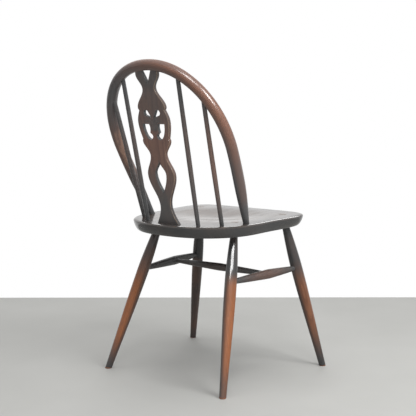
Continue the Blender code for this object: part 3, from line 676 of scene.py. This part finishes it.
stretcher_finish = stained_wood(
    "black_brown_stretchers", pale=(0.225, 0.122, 0.088), deep=(0.152, 0.082, 0.062),
    toner=(0.084, 0.085, 0.086), bare=(0.20, 0.10, 0.06), ring_width=0.0030, rubbing=0.4, gloss=0.10,
    build=0.40, **SATIN)
crests = []
for side_name in SIDES:
    joints = [leg_joint(side_name, place) for place in ("rear", "front")]
    crests.append(stretcher(f"side_stretcher_{side_name}", *joints, SIDE_STRETCHER_END, SIDE_STRETCHER_SWELL,
                            CROSS_SHARE, LEG_SWELL_DIAMETER, SIDE_HEARTS[side_name], SIDE_THINNED[side_name]))
stretcher("cross_stretcher", *crests, CROSS_STRETCHER_END, CROSS_STRETCHER_SWELL, CROSS_SWELL_SHARE,
          SIDE_STRETCHER_SWELL, CROSS_HEART, CROSS_THINNED)


# Hoop: one rod of straight-grained hardwood, steam-bent to a tall arch that leans back, nearly round in
# section and tapered to round ends that go through the seat. Red-brown stain, sprayed darker towards the
# seat, with painted shade on its inner side and, on the sitter's left, behind; low on the sitter's left its
# inner side is paler, partly worn and partly a painted highlight.

HOOP_FOOT_ANGLE = math.radians(12.6)
HOOP_INSET = 0.026
HOOP_RAKE = math.radians(25.7)
HOOP_WIDTH = SEAT_BACK_WIDTH
HOOP_RISE = 0.4133
HOOP_WIDE_RISE = 0.210
HOOP_SIDE_CURVE = 1.4
HOOP_BOW_SQUARENESS = 2.1
HOOP_RADIAL = 0.0275
HOOP_THICK = 0.0295
HOOP_SECTION_SQUARENESS = 2.3
HOOP_END_DIAMETER = 0.0172
HOOP_TAPER = 0.120
HOOP_START_RISE = 0.023
HOOP_FACETS = 44
HOOP_SIDE_STEPS = 36
HOOP_BOW_STEPS = 54
HOOP_HEART = Vector((0.050, 0.031, 0.0))

# Toner and painted shade on the hoop, each with the span over which it comes in: a rise over the seat, a
# place across, or the cosine of an angle round the section.
HOOP_TONER = 0.18
LOW_TONER, LOW_TONER_RISE = 0.52, (0.12, 0.30)
# Painted shade: more toner on the hoop's inner side, and on the back of the sitter's left half.
INNER_SHADE, INNER_SPAN = 0.40, (-0.75, 0.5)
OUTER_TONER, OUTER_SPAN, CROWN_RISE = 0.30, (0.7, 1), (0.3, 0.4)
LEFT_BEHIND_SHADE, LEFT_ACROSS = 0.90, (-0.08, 0.15)
BEHIND, BEHIND_SPAN = math.pi / 4, (-0.7, -0.1)
HOOP_END_RISE = (0.03, 0.15)
# Low on the sitter's left the inner side is rubbed pale: partly wear, partly a painted highlight where the
# side lamp falls, with less painted shade there.
LIT_WEAR_LOW_RISE, LIT_WEAR_HIGH_RISE = (0.08, 0.16), (0.22, 0.30)
LIT_SHADE_LOSS = 0.30
HOOP_WEAR_AND_LIGHT, HOOP_WEAR_AND_LIGHT_SPAN = 1.5, (-0.3, 0.6)

hoop_foot = on_seat(*seat_edge(HOOP_FOOT_ANGLE, HOOP_INSET))
hoop_normal = Vector((0, math.cos(HOOP_RAKE), -math.sin(HOOP_RAKE)))


def hoop_centre(across, rise):
    return Vector((across, hoop_foot.y + math.tan(HOOP_RAKE) * rise, hoop_foot.z + rise))


def bow_point(bearing):
    """Across and rise of the hoop's upper part, from its widest place (0) to its crown (90 degrees)."""
    power = 2 / HOOP_BOW_SQUARENESS
    across = HOOP_WIDTH / 2 * abs(math.cos(bearing)) ** power
    return across, blend(HOOP_WIDE_RISE, HOOP_RISE, math.sin(bearing) ** power)


def side_point(rise):
    """Across and rise of the hoop's side, which leans in towards the seat."""
    share = 1 - rise / HOOP_WIDE_RISE
    return blend(HOOP_WIDTH / 2, hoop_foot.x, share**HOOP_SIDE_CURVE), rise


def hoop_toner_and_shade(across, rise, angle):
    """Toner, painted shade and rubbing (partly a painted highlight) round the section, from its inner side to
    its back.
    """
    inner = math.cos(angle)
    left = smooth_step(*LEFT_ACROSS, across)
    behind = left * smooth_step(*BEHIND_SPAN, math.cos(angle - BEHIND))
    worn_and_lit = smooth_step(*LIT_WEAR_LOW_RISE, rise) * (1 - smooth_step(*LIT_WEAR_HIGH_RISE, rise))
    plain = HOOP_TONER + LOW_TONER * (1 - smooth_step(*LOW_TONER_RISE, rise))
    shade = INNER_SHADE * smooth_step(*INNER_SPAN, inner)
    shade += OUTER_TONER * smooth_step(*OUTER_SPAN, -inner) * smooth_step(*CROWN_RISE, rise)
    tone = plain + shade * (1 - left) + (LEFT_BEHIND_SHADE - LIT_SHADE_LOSS * worn_and_lit - plain) * behind
    rub = HOOP_WEAR_AND_LIGHT * left * worn_and_lit * smooth_step(*HOOP_WEAR_AND_LIGHT_SPAN, inner)
    return max(tone, 1 - smooth_step(*HOOP_END_RISE, rise)), rub


def hoop_section(centre, tangent, rise, neck, travelled):
    """Ring of the hoop's oval section, which becomes round towards the seat."""
    share = min(1, max(0, (rise - neck) / (HOOP_TAPER - neck)))
    grown = math.sin(math.pi / 2 * share)
    radial = blend(HOOP_END_DIAMETER, HOOP_RADIAL, grown) / 2
    thick = blend(HOOP_END_DIAMETER, HOOP_THICK, grown) / 2
    power = 2 / blend(2, HOOP_SECTION_SQUARENESS, grown)
    inward = hoop_normal.cross(tangent).normalized()
    ring = []
    for i in range(HOOP_FACETS):
        angle = math.tau * i / HOOP_FACETS
        u = radial * math.copysign(abs(math.cos(angle)) ** power, math.cos(angle))
        v = thick * math.copysign(abs(math.sin(angle)) ** power, math.sin(angle))
        grain = Vector((u, v, travelled)) + HOOP_HEART
        point = centre + inward * u + hoop_normal * v
        ring.append(Spot(point, grain, *hoop_toner_and_shade(centre.x, rise, angle)))
    return ring


half = []
for i in range(HOOP_SIDE_STEPS):
    half.append(side_point(blend(HOOP_START_RISE, HOOP_WIDE_RISE, i / HOOP_SIDE_STEPS)))
for i in range(HOOP_BOW_STEPS + 1):
    half.append(bow_point(math.pi / 2 * i / HOOP_BOW_STEPS))
path = [hoop_centre(-x, rise) for x, rise in half]
path += [hoop_centre(x, rise) for x, rise in reversed(half[:-1])]
near, far = (hoop_centre(*side_point(rise)) for rise in (0, LAND))
entry = (near - far).normalized()
neck = slant(HOOP_END_DIAMETER / 2, entry, seat_up)
underside = on_seat(0, 0, SEAT_THICKNESS + TENON_PROUD)
hoop_ends = {}
for side_name, side in SIDES.items():
    flip = Vector((side, 1, 1))
    hoop_ends[side_name] = (hoop_foot * flip, entry * flip)


def hoop_end(side_name, travelled):
    """Rings of an end: the last before the seat's socket, and the one planed off below the seat."""
    foot, into = hoop_ends[side_name]
    straight = hoop_section(foot - into * neck, into * SIDES[side_name], 0, neck, travelled)
    return straight, cut_off(straight, meet, into, underside, seat_up)


rings = [*reversed(hoop_end("right", 0))]
travelled = 0
for i, centre in enumerate(path):
    before = path[max(0, i - 1)]
    after = path[min(len(path) - 1, i + 1)]
    travelled += (centre - before).length
    rise = centre.z - hoop_foot.z
    rings.append(hoop_section(centre, (after - before).normalized(), rise, neck, travelled))
rings += hoop_end("left", travelled)
hoop_finish = stained_wood(
    "red_brown_hoop", pale=(0.315, 0.138, 0.082), deep=(0.215, 0.094, 0.060), toner=(0.108, 0.111, 0.115),
    bare=(0.36, 0.23, 0.175), ring_width=0.0036, rubbing=0.4, gloss=0.20, build=0.50, **SATIN)
wood_piece("bent_hoop", *skin(rings), hoop_finish, "red_brown_stain", "back_hoop")


# Hoop wedges: the same slips, driven from below into the ends of the hoop where they come through the seat.
# They are planed off with the underside.

HOOP_WEDGE_HEARTS = {"left": Vector((0.018, 0.010, 0.6)), "right": Vector((0.018, 0.015, 0.6))}

for side_name, (foot, into) in hoop_ends.items():
    tip = meet(foot, into, on_seat(0, 0, SEAT_THICKNESS), seat_up)
    low, high = wedge_rings(tip, into, HOOP_END_DIAMETER, HOOP_WEDGE_HEARTS[side_name])
    face = on_seat(0, 0, SEAT_THICKNESS + WEDGE_PROUD)
    high = cut_off(high, meet, into, face, seat_up)
    node = f"hoop_wedge_{side_name}"
    wood_piece(f"slip_{node}", *skin([low, high]), wedge_finish, "pale_wedge_wood", node)


# Sticks: four slim round rods between the seat and the hoop, hardly swelled, two on each side of the splat.
# Straight-grained hardwood under near-black toner, glued into blind holes at both ends.

STICK_INSET = 0.029
STICK_DIAMETER = 0.0130
STICK_END_DIAMETER = 0.0112
STICK_SWELL_SHARE = 0.45
STICK_SEAT_DEPTH = 0.018
STICK_BEARINGS = {"outer": (36.0, 38.5), "inner": (57.0, 62.2)}
STICK_THINNED = {"left_outer": 0.20, "left_inner": 0.20, "right_inner": 0.35, "right_outer": 0.85}
STICK_FACETS = 32
STICK_STEPS = 30
STICK_HEART = Vector((0.024, 0.015, 3.0))
STICK_HEART_SHIFT = 0.4

stick_finish = stained_wood(
    "black_brown_sticks", pale=(0.285, 0.170, 0.132), deep=(0.200, 0.120, 0.096), toner=(0.096, 0.098, 0.100),
    bare=(0.20, 0.10, 0.06), ring_width=0.0030, rubbing=0.4, gloss=0.10, build=0.40, **SATIN)
for side_name, side in SIDES.items():
    for place, degrees in STICK_BEARINGS.items():
        seat_bearing, bow_bearing = map(math.radians, degrees)
        x, y = seat_edge(seat_bearing, STICK_INSET)
        foot = on_seat(side * x, y)
        across, rise = bow_point(bow_bearing)
        end = hoop_centre(side * across, rise)
        along = (end - foot).normalized()
        start = foot - along * STICK_SEAT_DEPTH
        parallel = STICK_SEAT_DEPTH + slant(STICK_END_DIAMETER / 2, along, seat_up)
        heart = STICK_HEART * Vector((1, side, side)) + Vector((STICK_HEART_SHIFT * x, 0, y))
        stick = f"{side_name}_{place}"
        rings = swelled_rings(start, end, STICK_END_DIAMETER, STICK_DIAMETER, parallel, STICK_SWELL_SHARE,
                              STICK_FACETS, STICK_STEPS, heart, STICK_THINNED[stick])
        wood_piece(f"round_stick_{stick}", *skin(rings), stick_finish, "black_brown_stain", f"stick_{stick}")


# Splat: a thin board sawn and pierced to a thistle between horns and belly, its edges eased by hand
# and the tuft of its flower cut in with a gouge on both faces. Walnut stain, sprayed dark at its foot and
# head, with painted shade on its sawn edges and in its gouge cuts, and a painted highlight, pale like worn
# wood, along the outline's edge on one side. Its foot is housed in the seat and its two horns in the hoop.

SPLAT_INSET = 0.0315
SPLAT_THICKNESS = 0.0095
SPLAT_EDGE = 0.0012
SPLAT_SEAT_DEPTH = 0.012
SPLAT_HOOP_DEPTH = 0.009
HORN_LAND = 0.009
CLEFT_HALF, CLEFT_DEPTH = 0.0158, 0.0335
LEAF_OUTER = 0.0375
DROP_CENTRE = Vector((0.0205, 0.3005))
DROP_RADIUS = 0.0075
DROP_TIP, DROP_TIP_FALL = 0.0043, 0.0125
SAWN_STEP = 0.0017
LEAF_STEPS = 26
DROP_STEPS = 28
EDGE_STEPS = 4
LEAST_MITRE = 0.3
GOUGE_WIDTH = 0.0026
GOUGE_DEPTH = 0.0012
GOUGE_STEP = 0.0016
GOUGE_FADE = 0.6
# Painted shade on a gouge cut's banks, as a share of that along its middle.
GOUGE_BANK_SHADE = 0.8
OTHER_EDGE_WEAR = 0.3
SPLAT_HEART = Vector((-0.012, 0.060, 0.0))
SPLAT_TONER = 0.38
SPLAT_FOOT_TONER, SPLAT_FOOT_END = 0.56, 0.6
SPLAT_HEAD_TONER, SPLAT_HEAD_SPAN = 0.30, (0.5, 0.72)
HORN_TONER, HORN_SPAN = 0.25, (0.80, 0.95)
ROUND, SHARP = True, False

# Stops up the splat's outer edge, the ogee opening and the thistle's edge in a leaf opening, as drawn: out
# from the middle, up from the foot, and rounded or sharp.
OUTER_STOPS = {
    "foot": (0.0380, 0, SHARP),
    "neck": (0.0185, 0.0500, ROUND),
    "belly": (0.0470, 0.1340, ROUND),
    "waist": (0.0270, 0.1880, ROUND),
    "ear": (0.0470, 0.2265, ROUND),
    "low nick": (0.0450, 0.2320, SHARP),
    "head": (0.0540, 0.2760, ROUND),
    "high nick": (0.0440, 0.3070, SHARP),
    "crest": (0.0475, 0.3145, ROUND),
    "throat": (0.0210, 0.3640, ROUND),
    "horn": (0.0385, 0.4010, ROUND),
}
OGEE_STOPS = {"low point": (0, 0.0860, SHARP), "widest": (0.0186, 0.1370, ROUND), "top": (0, 0.1730, ROUND)}
THISTLE_STOPS = {
    "leaf point": (0.0156, 0.2295, SHARP),
    "calyx": (0.0075, 0.2385, ROUND),
    "bulb rim": (0.0158, 0.2480, SHARP),
    "bulb side": (0.0135, 0.2615, ROUND),
    "tuft": (0.0160, 0.2710, SHARP),
}
head_at = OUTER_STOPS["head"][1]
drawn_height = OUTER_STOPS["horn"][1] + HORN_LAND

# Gouge cuts of the tuft, as points across and up from the splat's head as drawn.
TUFT_CUTS = (
    ((0, -0.0215), (0, 0.0085)),
    ((0.0046, -0.0215), (0.0047, -0.008), (0.0060, 0.002), (0.0095, 0.0085), (0.0145, 0.0115)),
    ((0.0088, -0.0215), (0.0092, -0.012), (0.0115, -0.0035), (0.0165, 0.0018), (0.0235, 0.0030)),
)
BULB_CUT = ((-0.0112, -0.0255), (-0.0055, -0.0268), (0, -0.0272), (0.0055, -0.0268), (0.0112, -0.0255))


def cyma(stops):
    """Points up a moulded edge through its stops, no two of them sharp in a row."""
    stops = list(stops.values())
    points = []
    for (x0, y0, round0), (x1, y1, round1) in zip(stops, stops[1:]):
        steps = max(1, round(math.hypot(x1 - x0, y1 - y0) / SAWN_STEP))
        for i in range(steps):
            share = i / steps
            if round0 and round1:
                bend = (1 - math.cos(math.pi * share)) / 2
            elif round0:
                bend = 1 - math.cos(math.pi / 2 * share)
            else:
                bend = math.sin(math.pi / 2 * share)
            points.append((blend(x0, x1, bend), blend(y0, y1, share)))
    points.append(stops[-1][:2])
    return points


def mirrored(points):
    return [(-x, y) for x, y in reversed(points)]


def splat_outline(bottom, top):
    """Outside of the splat as drawn, from the foot of its +X side over the horns to the other foot."""
    edge = cyma(OUTER_STOPS)
    (foot_half, _), (horn_half, _) = edge[0], edge[-1]
    horn = [(horn_half, top), (CLEFT_HALF, top), (CLEFT_HALF, drawn_height)]
    half = [(foot_half, bottom), *edge, *horn]
    return half + [(0, drawn_height - CLEFT_DEPTH)] + mirrored(half)


def leaf_opening():
    """Opening beside the thistle: bulb and calyx on the inner side, an elliptic sweep on the outer side."""
    inner = cyma(THISTLE_STOPS)
    (point, low), (_, top) = inner[0], inner[-1]
    outer = []
    for i in range(1, LEAF_STEPS):
        angle = math.pi / 2 * i / LEAF_STEPS
        outer.append((blend(point, LEAF_OUTER, math.sin(angle)), blend(top, low, math.cos(angle))))
    return [*outer, (LEAF_OUTER, top), *reversed(inner)]


def drop_opening():
    """Round drop whose straight sides run to a tip."""
    tip = Vector((DROP_TIP, DROP_CENTRE.y - DROP_TIP_FALL))
    towards = tip - DROP_CENTRE
    touch = math.acos(DROP_RADIUS / towards.length)
    first = math.atan2(towards.y, towards.x) + touch
    loop = [tuple(tip)]
    for i in range(DROP_STEPS + 1):
        angle = first + (math.tau - 2 * touch) * i / DROP_STEPS
        x = DROP_CENTRE.x + DROP_RADIUS * math.cos(angle)
        loop.append((x, DROP_CENTRE.y + DROP_RADIUS * math.sin(angle)))
    return loop


def turn_to(loop, anticlockwise):
    area = sum(x0 * y1 - x1 * y0 for (x0, y0), (x1, y1) in zip(loop, loop[1:] + loop[:1]))
    return loop if (area > 0) == anticlockwise else loop[::-1]


def moved_in(loop, distance):
    """The loop moved into the wood on its left."""
    moved = []
    for before, here, after in zip(loop[-1:] + loop[:-1], loop, loop[1:] + loop[:1]):
        arrive = (Vector(here) - Vector(before)).normalized()
        leave = (Vector(after) - Vector(here)).normalized()
        normal = Vector((-arrive.y - leave.y, arrive.x + leave.x)).normalized()
        shift = distance / max(LEAST_MITRE, normal.dot(Vector((-arrive.y, arrive.x))))
        moved.append((here[0] + normal.x * shift, here[1] + normal.y * shift))
    return moved


def gouge_line(points):
    """Points at even steps on a smooth curve through a cut's drawn points."""
    drawn = [Vector(point) for point in points]
    drawn = [2 * drawn[0] - drawn[1], *drawn, 2 * drawn[-1] - drawn[-2]]
    line = []
    for p0, p1, p2, p3 in zip(drawn, drawn[1:], drawn[2:], drawn[3:]):
        steps = max(2, round((p2 - p1).length / GOUGE_STEP))
        for i in range(steps):
            t = i / steps
            curve = (p2 - p0) * t
            curve += (2 * p0 - 5 * p1 + 4 * p2 - p3) * t**2
            curve += (3 * p1 - p0 - 3 * p2 + p3) * t**3
            line.append(p1 + curve / 2)
    return [*line, drawn[-2]]


def add_gouge_cut(bm, line, level, outward, painted_shade, groove_shade):
    """Faces of one V cut in a face with painted shade in it, and the edges of its rim for the face to be
    filled round.
    """
    centre = []
    for i, p in enumerate(line[1:-1], 1):
        depth = GOUGE_DEPTH * math.sin(math.pi * i / (len(line) - 1)) ** GOUGE_FADE
        centre.append(bm.verts.new((p.x, p.y, level - outward * depth)))
    tips = [bm.verts.new((p.x, p.y, level)) for p in (line[0], line[-1])]
    rim = []
    banks = []
    for side in (1, -1):
        bank = []
        for before, here, after in zip(line, line[1:], line[2:]):
            way = (after - before).normalized()
            bank.append(bm.verts.new((here.x - way.y * side * GOUGE_WIDTH / 2,
                                      here.y + way.x * side * GOUGE_WIDTH / 2, level)))
        bm.faces.new((tips[0], bank[0], centre[0]))
        bm.faces.new((bank[-1], tips[1], centre[-1]))
        for i in range(len(bank) - 1):
            bm.faces.new((bank[i], bank[i + 1], centre[i + 1], centre[i]))
        banks += bank
        row = [tips[0], *bank, tips[1]]
        rim += [bm.edges.get(pair) for pair in zip(row, row[1:])]
    # Painted shade in the groove: darkest along its middle, a little less on its banks.
    for vert in centre:
        vert[painted_shade] = groove_shade
    for vert in (*tips, *banks):
        vert[painted_shade] = GOUGE_BANK_SHADE * groove_shade
    return rim


def fretwork(loops, cuts):
    """Board with sawn edges, the wood on the left of each loop, and cuts in both faces.

    The first loop is the outline and the first cut the plain line on the bulb.
    """
    bm = bmesh.new()
    rub = bm.verts.layers.float.new("rub")
    painted_shade = bm.verts.layers.float.new("painted_shade")
    half_board = SPLAT_THICKNESS / 2
    rims = {half_board: [], -half_board: []}
    for number, loop in enumerate(loops):
        levels = []
        for i in range(EDGE_STEPS + 1):
            angle = math.pi / 2 * i / EDGE_STEPS
            ring = moved_in(loop, SPLAT_EDGE * (1 - math.sin(angle)))
            levels.append((ring, half_board - SPLAT_EDGE * (1 - math.cos(angle)), math.sin(2 * angle)))
        levels += [(ring, -z, touched) for ring, z, touched in reversed(levels)]
        rows = []
        for ring, z, touched in levels:
            row = [bm.verts.new((x, y, z)) for x, y in ring]
            for vert in row:
                # Painted highlight: the outline's edge on one side is rubbed pale. The other sawn edges get
                # painted shade at mid thickness, and a little wear on their arrises.
                lit_side = number == 0 and vert.co.x < 0
                vert[rub] = touched if lit_side else OTHER_EDGE_WEAR * touched
                vert[painted_shade] = 1 if not lit_side and abs(z) < half_board else 0
            rows.append(row)
        for low, high in zip(rows, rows[1:]):
            for i in range(len(low)):
                j = (i + 1) % len(low)
                bm.faces.new((low[i], low[j], high[j], high[i]))
        for z, row in ((half_board, rows[0]), (-half_board, rows[-1])):
            rims[z] += [bm.edges.get(pair) for pair in zip(row, row[1:] + row[:1])]
    for level, edges in rims.items():
        for number, line in enumerate(cuts):
            edges += add_gouge_cut(bm, line, level, math.copysign(1, level), painted_shade, 1 if number else 0)
        bmesh.ops.triangle_fill(bm, use_beauty=True, use_dissolve=False, edges=edges, normal=(0, 0, level))
    bm.verts.index_update()
    return bm, rub, painted_shade


foot = on_seat(0, SEAT_BACK_Y - SPLAT_INSET)
crown = hoop_centre(0, HOOP_RISE)
slope = (crown - foot).normalized()
across = Vector((1, 0, 0))
stand = Matrix((across, slope, across.cross(slope))).transposed().to_4x4()
stand.translation = foot
radial = Vector((0, math.sin(HOOP_RAKE), math.cos(HOOP_RAKE)))
clear = (crown - foot).length - HOOP_RADIAL / 2 / slope.dot(radial)
stretch = clear / drawn_height
outline = splat_outline(-SPLAT_SEAT_DEPTH / stretch, (clear + SPLAT_HOOP_DEPTH) / stretch)
ogee = cyma(OGEE_STOPS)
openings = [ogee + mirrored(ogee)[1:-1]]
for opening in (leaf_opening(), drop_opening()):
    openings += [opening, mirrored(opening)]
loops = [turn_to(outline, True)] + [turn_to(loop, False) for loop in openings]
loops = [[(x, y * stretch) for x, y in loop] for loop in loops]
cuts = [BULB_CUT, TUFT_CUTS[0]]
for cut in TUFT_CUTS[1:]:
    cuts += [cut, mirrored(cut)]
cuts = [gouge_line([(x, (head_at + y) * stretch) for x, y in cut]) for cut in cuts]
bm, rub, painted_shade = fretwork(loops, cuts)
spots = []
for vert in bm.verts:
    grain = vert.co.xzy + SPLAT_HEART
    share = vert.co.y / clear
    tone = SPLAT_TONER + SPLAT_FOOT_TONER * (1 - smooth_step(0, SPLAT_FOOT_END, share))
    tone += SPLAT_HEAD_TONER * smooth_step(*SPLAT_HEAD_SPAN, share)
    tone += HORN_TONER * smooth_step(*HORN_SPAN, share)
    spots.append(Spot(stand @ vert.co, grain, max(tone, vert[painted_shade]), vert[rub]))
faces = [tuple(vert.index for vert in face.verts) for face in bm.faces]
bm.free()
splat_finish = stained_wood(
    "walnut_splat", pale=(0.370, 0.186, 0.130), deep=(0.270, 0.130, 0.094), toner=(0.120, 0.121, 0.122),
    bare=(0.40, 0.30, 0.22), ring_width=0.0060, rubbing=0.9, gloss=0.12, build=0.40, **SATIN)
wood_piece("thistle_splat", spots, faces, splat_finish, "walnut_stain", "splat")


# Floor: a plain pale sheet under the chair, faintly mottled. It ends a step behind the chair, where the
# photograph's floor meets its wall, before a white background.

CAMERA_BEARING = math.radians(219.934)
FLOOR_BEHIND = 0.94
FLOOR_REACH = 4.0
FLOOR_DARK = (0.50, 0.50, 0.48, 1)
FLOOR_PALE = (0.60, 0.60, 0.58, 1)
FLOOR_CLOUDS = (3, 3, 3)
FLOOR_ROUGHNESS = 0.7

camera_right = Vector((math.cos(CAMERA_BEARING), math.sin(CAMERA_BEARING), 0))
camera_back = Vector((math.sin(CAMERA_BEARING), -math.cos(CAMERA_BEARING), 0))
corners = []
for along, aside in ((-FLOOR_BEHIND, -1), (-FLOOR_BEHIND, 1), (FLOOR_REACH, 1), (FLOOR_REACH, -1)):
    corners.append(camera_back * along + camera_right * aside * FLOOR_REACH)
floor_mesh = bpy.data.meshes.new("floor")
floor_mesh.from_pydata(corners, [], [(0, 1, 2, 3)])
floor = bpy.data.objects.new("floor", floor_mesh)
bpy.context.scene.collection.objects.link(floor)
floor_finish = bpy.data.materials.new("pale_floor")
floor_finish.use_nodes = True
tree = floor_finish.node_tree
place = tree.nodes.new("ShaderNodeTexCoord").outputs["Object"]
mottle = clouds(tree, place, FLOOR_CLOUDS, detail=5)
surface = tree.nodes["Principled BSDF"].inputs
wire(tree, surface["Base Color"], tint(tree, mottle, FLOOR_DARK, FLOOR_PALE))
surface["Roughness"].default_value = FLOOR_ROUGHNESS
floor_mesh.materials.append(floor_finish)


# Light: a white room, and five soft boxes that light the chair without showing in its lacquer. Its highlights
# come from four cards that are mirrored only: one in the seat's top, one in the near leg and two in the rest.
# Those two are kept off the floor and the seat's top, which would turn white from the front.

AMBIENT = 0.10
LAMP_AIM = Vector((0, 0, 0.45))

world = bpy.data.worlds.new("studio")
world.use_nodes = True
bpy.context.scene.world = world
tree = world.node_tree
ray = tree.nodes.new("ShaderNodeLightPath").outputs
seen = reckon(tree, "MAXIMUM", ray["Is Camera Ray"], ray["Is Glossy Ray"])
backdrop = tree.nodes["Background"].inputs
backdrop["Color"].default_value = (1, 1, 1, 1)
wire(tree, backdrop["Strength"], reckon(tree, "MULTIPLY_ADD", seen, 1 - AMBIENT, AMBIENT))


def soft_box(name, bearing, rise, distance, width, height, watts):
    """Lamp that lights but isn't mirrored, at a bearing to the camera's right and a rise in degrees."""
    bearing = math.radians(bearing)
    rise = math.radians(rise)
    level = camera_back * math.cos(bearing) + camera_right * math.sin(bearing)
    away = level * math.cos(rise) + UP * math.sin(rise)
    lamp = bpy.data.lights.new(name, "AREA")
    lamp.shape = "RECTANGLE"
    lamp.size = width
    lamp.size_y = height
    lamp.energy = watts
    box = bpy.data.objects.new(name, lamp)
    box.visible_camera = False
    box.visible_glossy = False
    turn = away.to_track_quat("Z", "Y").to_matrix().to_4x4()
    box.matrix_world = Matrix.Translation(LAMP_AIM + away * distance) @ turn
    bpy.context.scene.collection.objects.link(box)
    return box


def mirror_only(card, pieces, state):
    """Makes a lamp a card that is only mirrored, in these pieces alone or in all but these."""
    card.visible_glossy = True
    card.visible_diffuse = False
    linked = bpy.data.collections.new(card.name)
    for i, piece in enumerate(pieces):
        linked.objects.link(bpy.data.objects[piece])
        linked.collection_objects[i].light_linking.link_state = state
    card.light_linking.receiver_collection = linked


soft_box("overhead_box", 0, 90, 3.6, 3.0, 3.0, 77)
soft_box("back_box", 3, 45, 3.1, 0.8, 0.8, 14)
soft_box("side_box", 50, 40, 2.6, 1.2, 1.2, 32)
soft_box("fill_box", 10, 8, 3.2, 1.6, 1.2, 20)
soft_box("front_box", 180, 35, 3.2, 2.0, 1.6, 16)
seat_top = ["saddled_seat"]
for side_name, place in legs:
    seat_top += [f"slip_leg_wedge_{place}_{side_name}", f"tenon_leg_{place}_{side_name}"]
mirror_only(soft_box("front_card", 168, 33, 3.0, 3.2, 0.5, 28), seat_top, "INCLUDE")
mirror_only(soft_box("back_card", 2, 39, 3.0, 2.8, 0.98, 280), ["turned_leg_rear_right"], "INCLUDE")
mirror_only(soft_box("crown_card", 18, 64, 3.0, 1.0, 1.1, 130), ["floor", *seat_top], "EXCLUDE")
mirror_only(soft_box("side_card", 58, 42, 3.0, 0.8, 1.0, 130), ["floor", *seat_top], "EXCLUDE")


# Camera: where the photograph was taken from, behind the chair on the sitter's right, at its lens's angle.

CAMERA_RISE = math.radians(6.515)
CAMERA_ROLL = math.radians(-0.058)
CAMERA_DISTANCE = 2.5636
CAMERA_TARGET = Vector((0.0343, -0.057, 0.4505))
CAMERA_LENS = 77.404

towards_camera = camera_back * math.cos(CAMERA_RISE) + UP * math.sin(CAMERA_RISE)
camera_up = towards_camera.cross(camera_right)
lens = bpy.data.cameras.new("camera")
lens.lens = CAMERA_LENS
camera = bpy.data.objects.new("camera", lens)
turned = Matrix((camera_right, camera_up, towards_camera)).transposed().to_4x4()
turned = turned @ Matrix.Rotation(CAMERA_ROLL, 4, "Z")
camera.matrix_world = Matrix.Translation(CAMERA_TARGET + towards_camera * CAMERA_DISTANCE) @ turned
bpy.context.scene.collection.objects.link(camera)
bpy.context.scene.camera = camera
bpy.context.scene.view_settings.view_transform = "Standard"
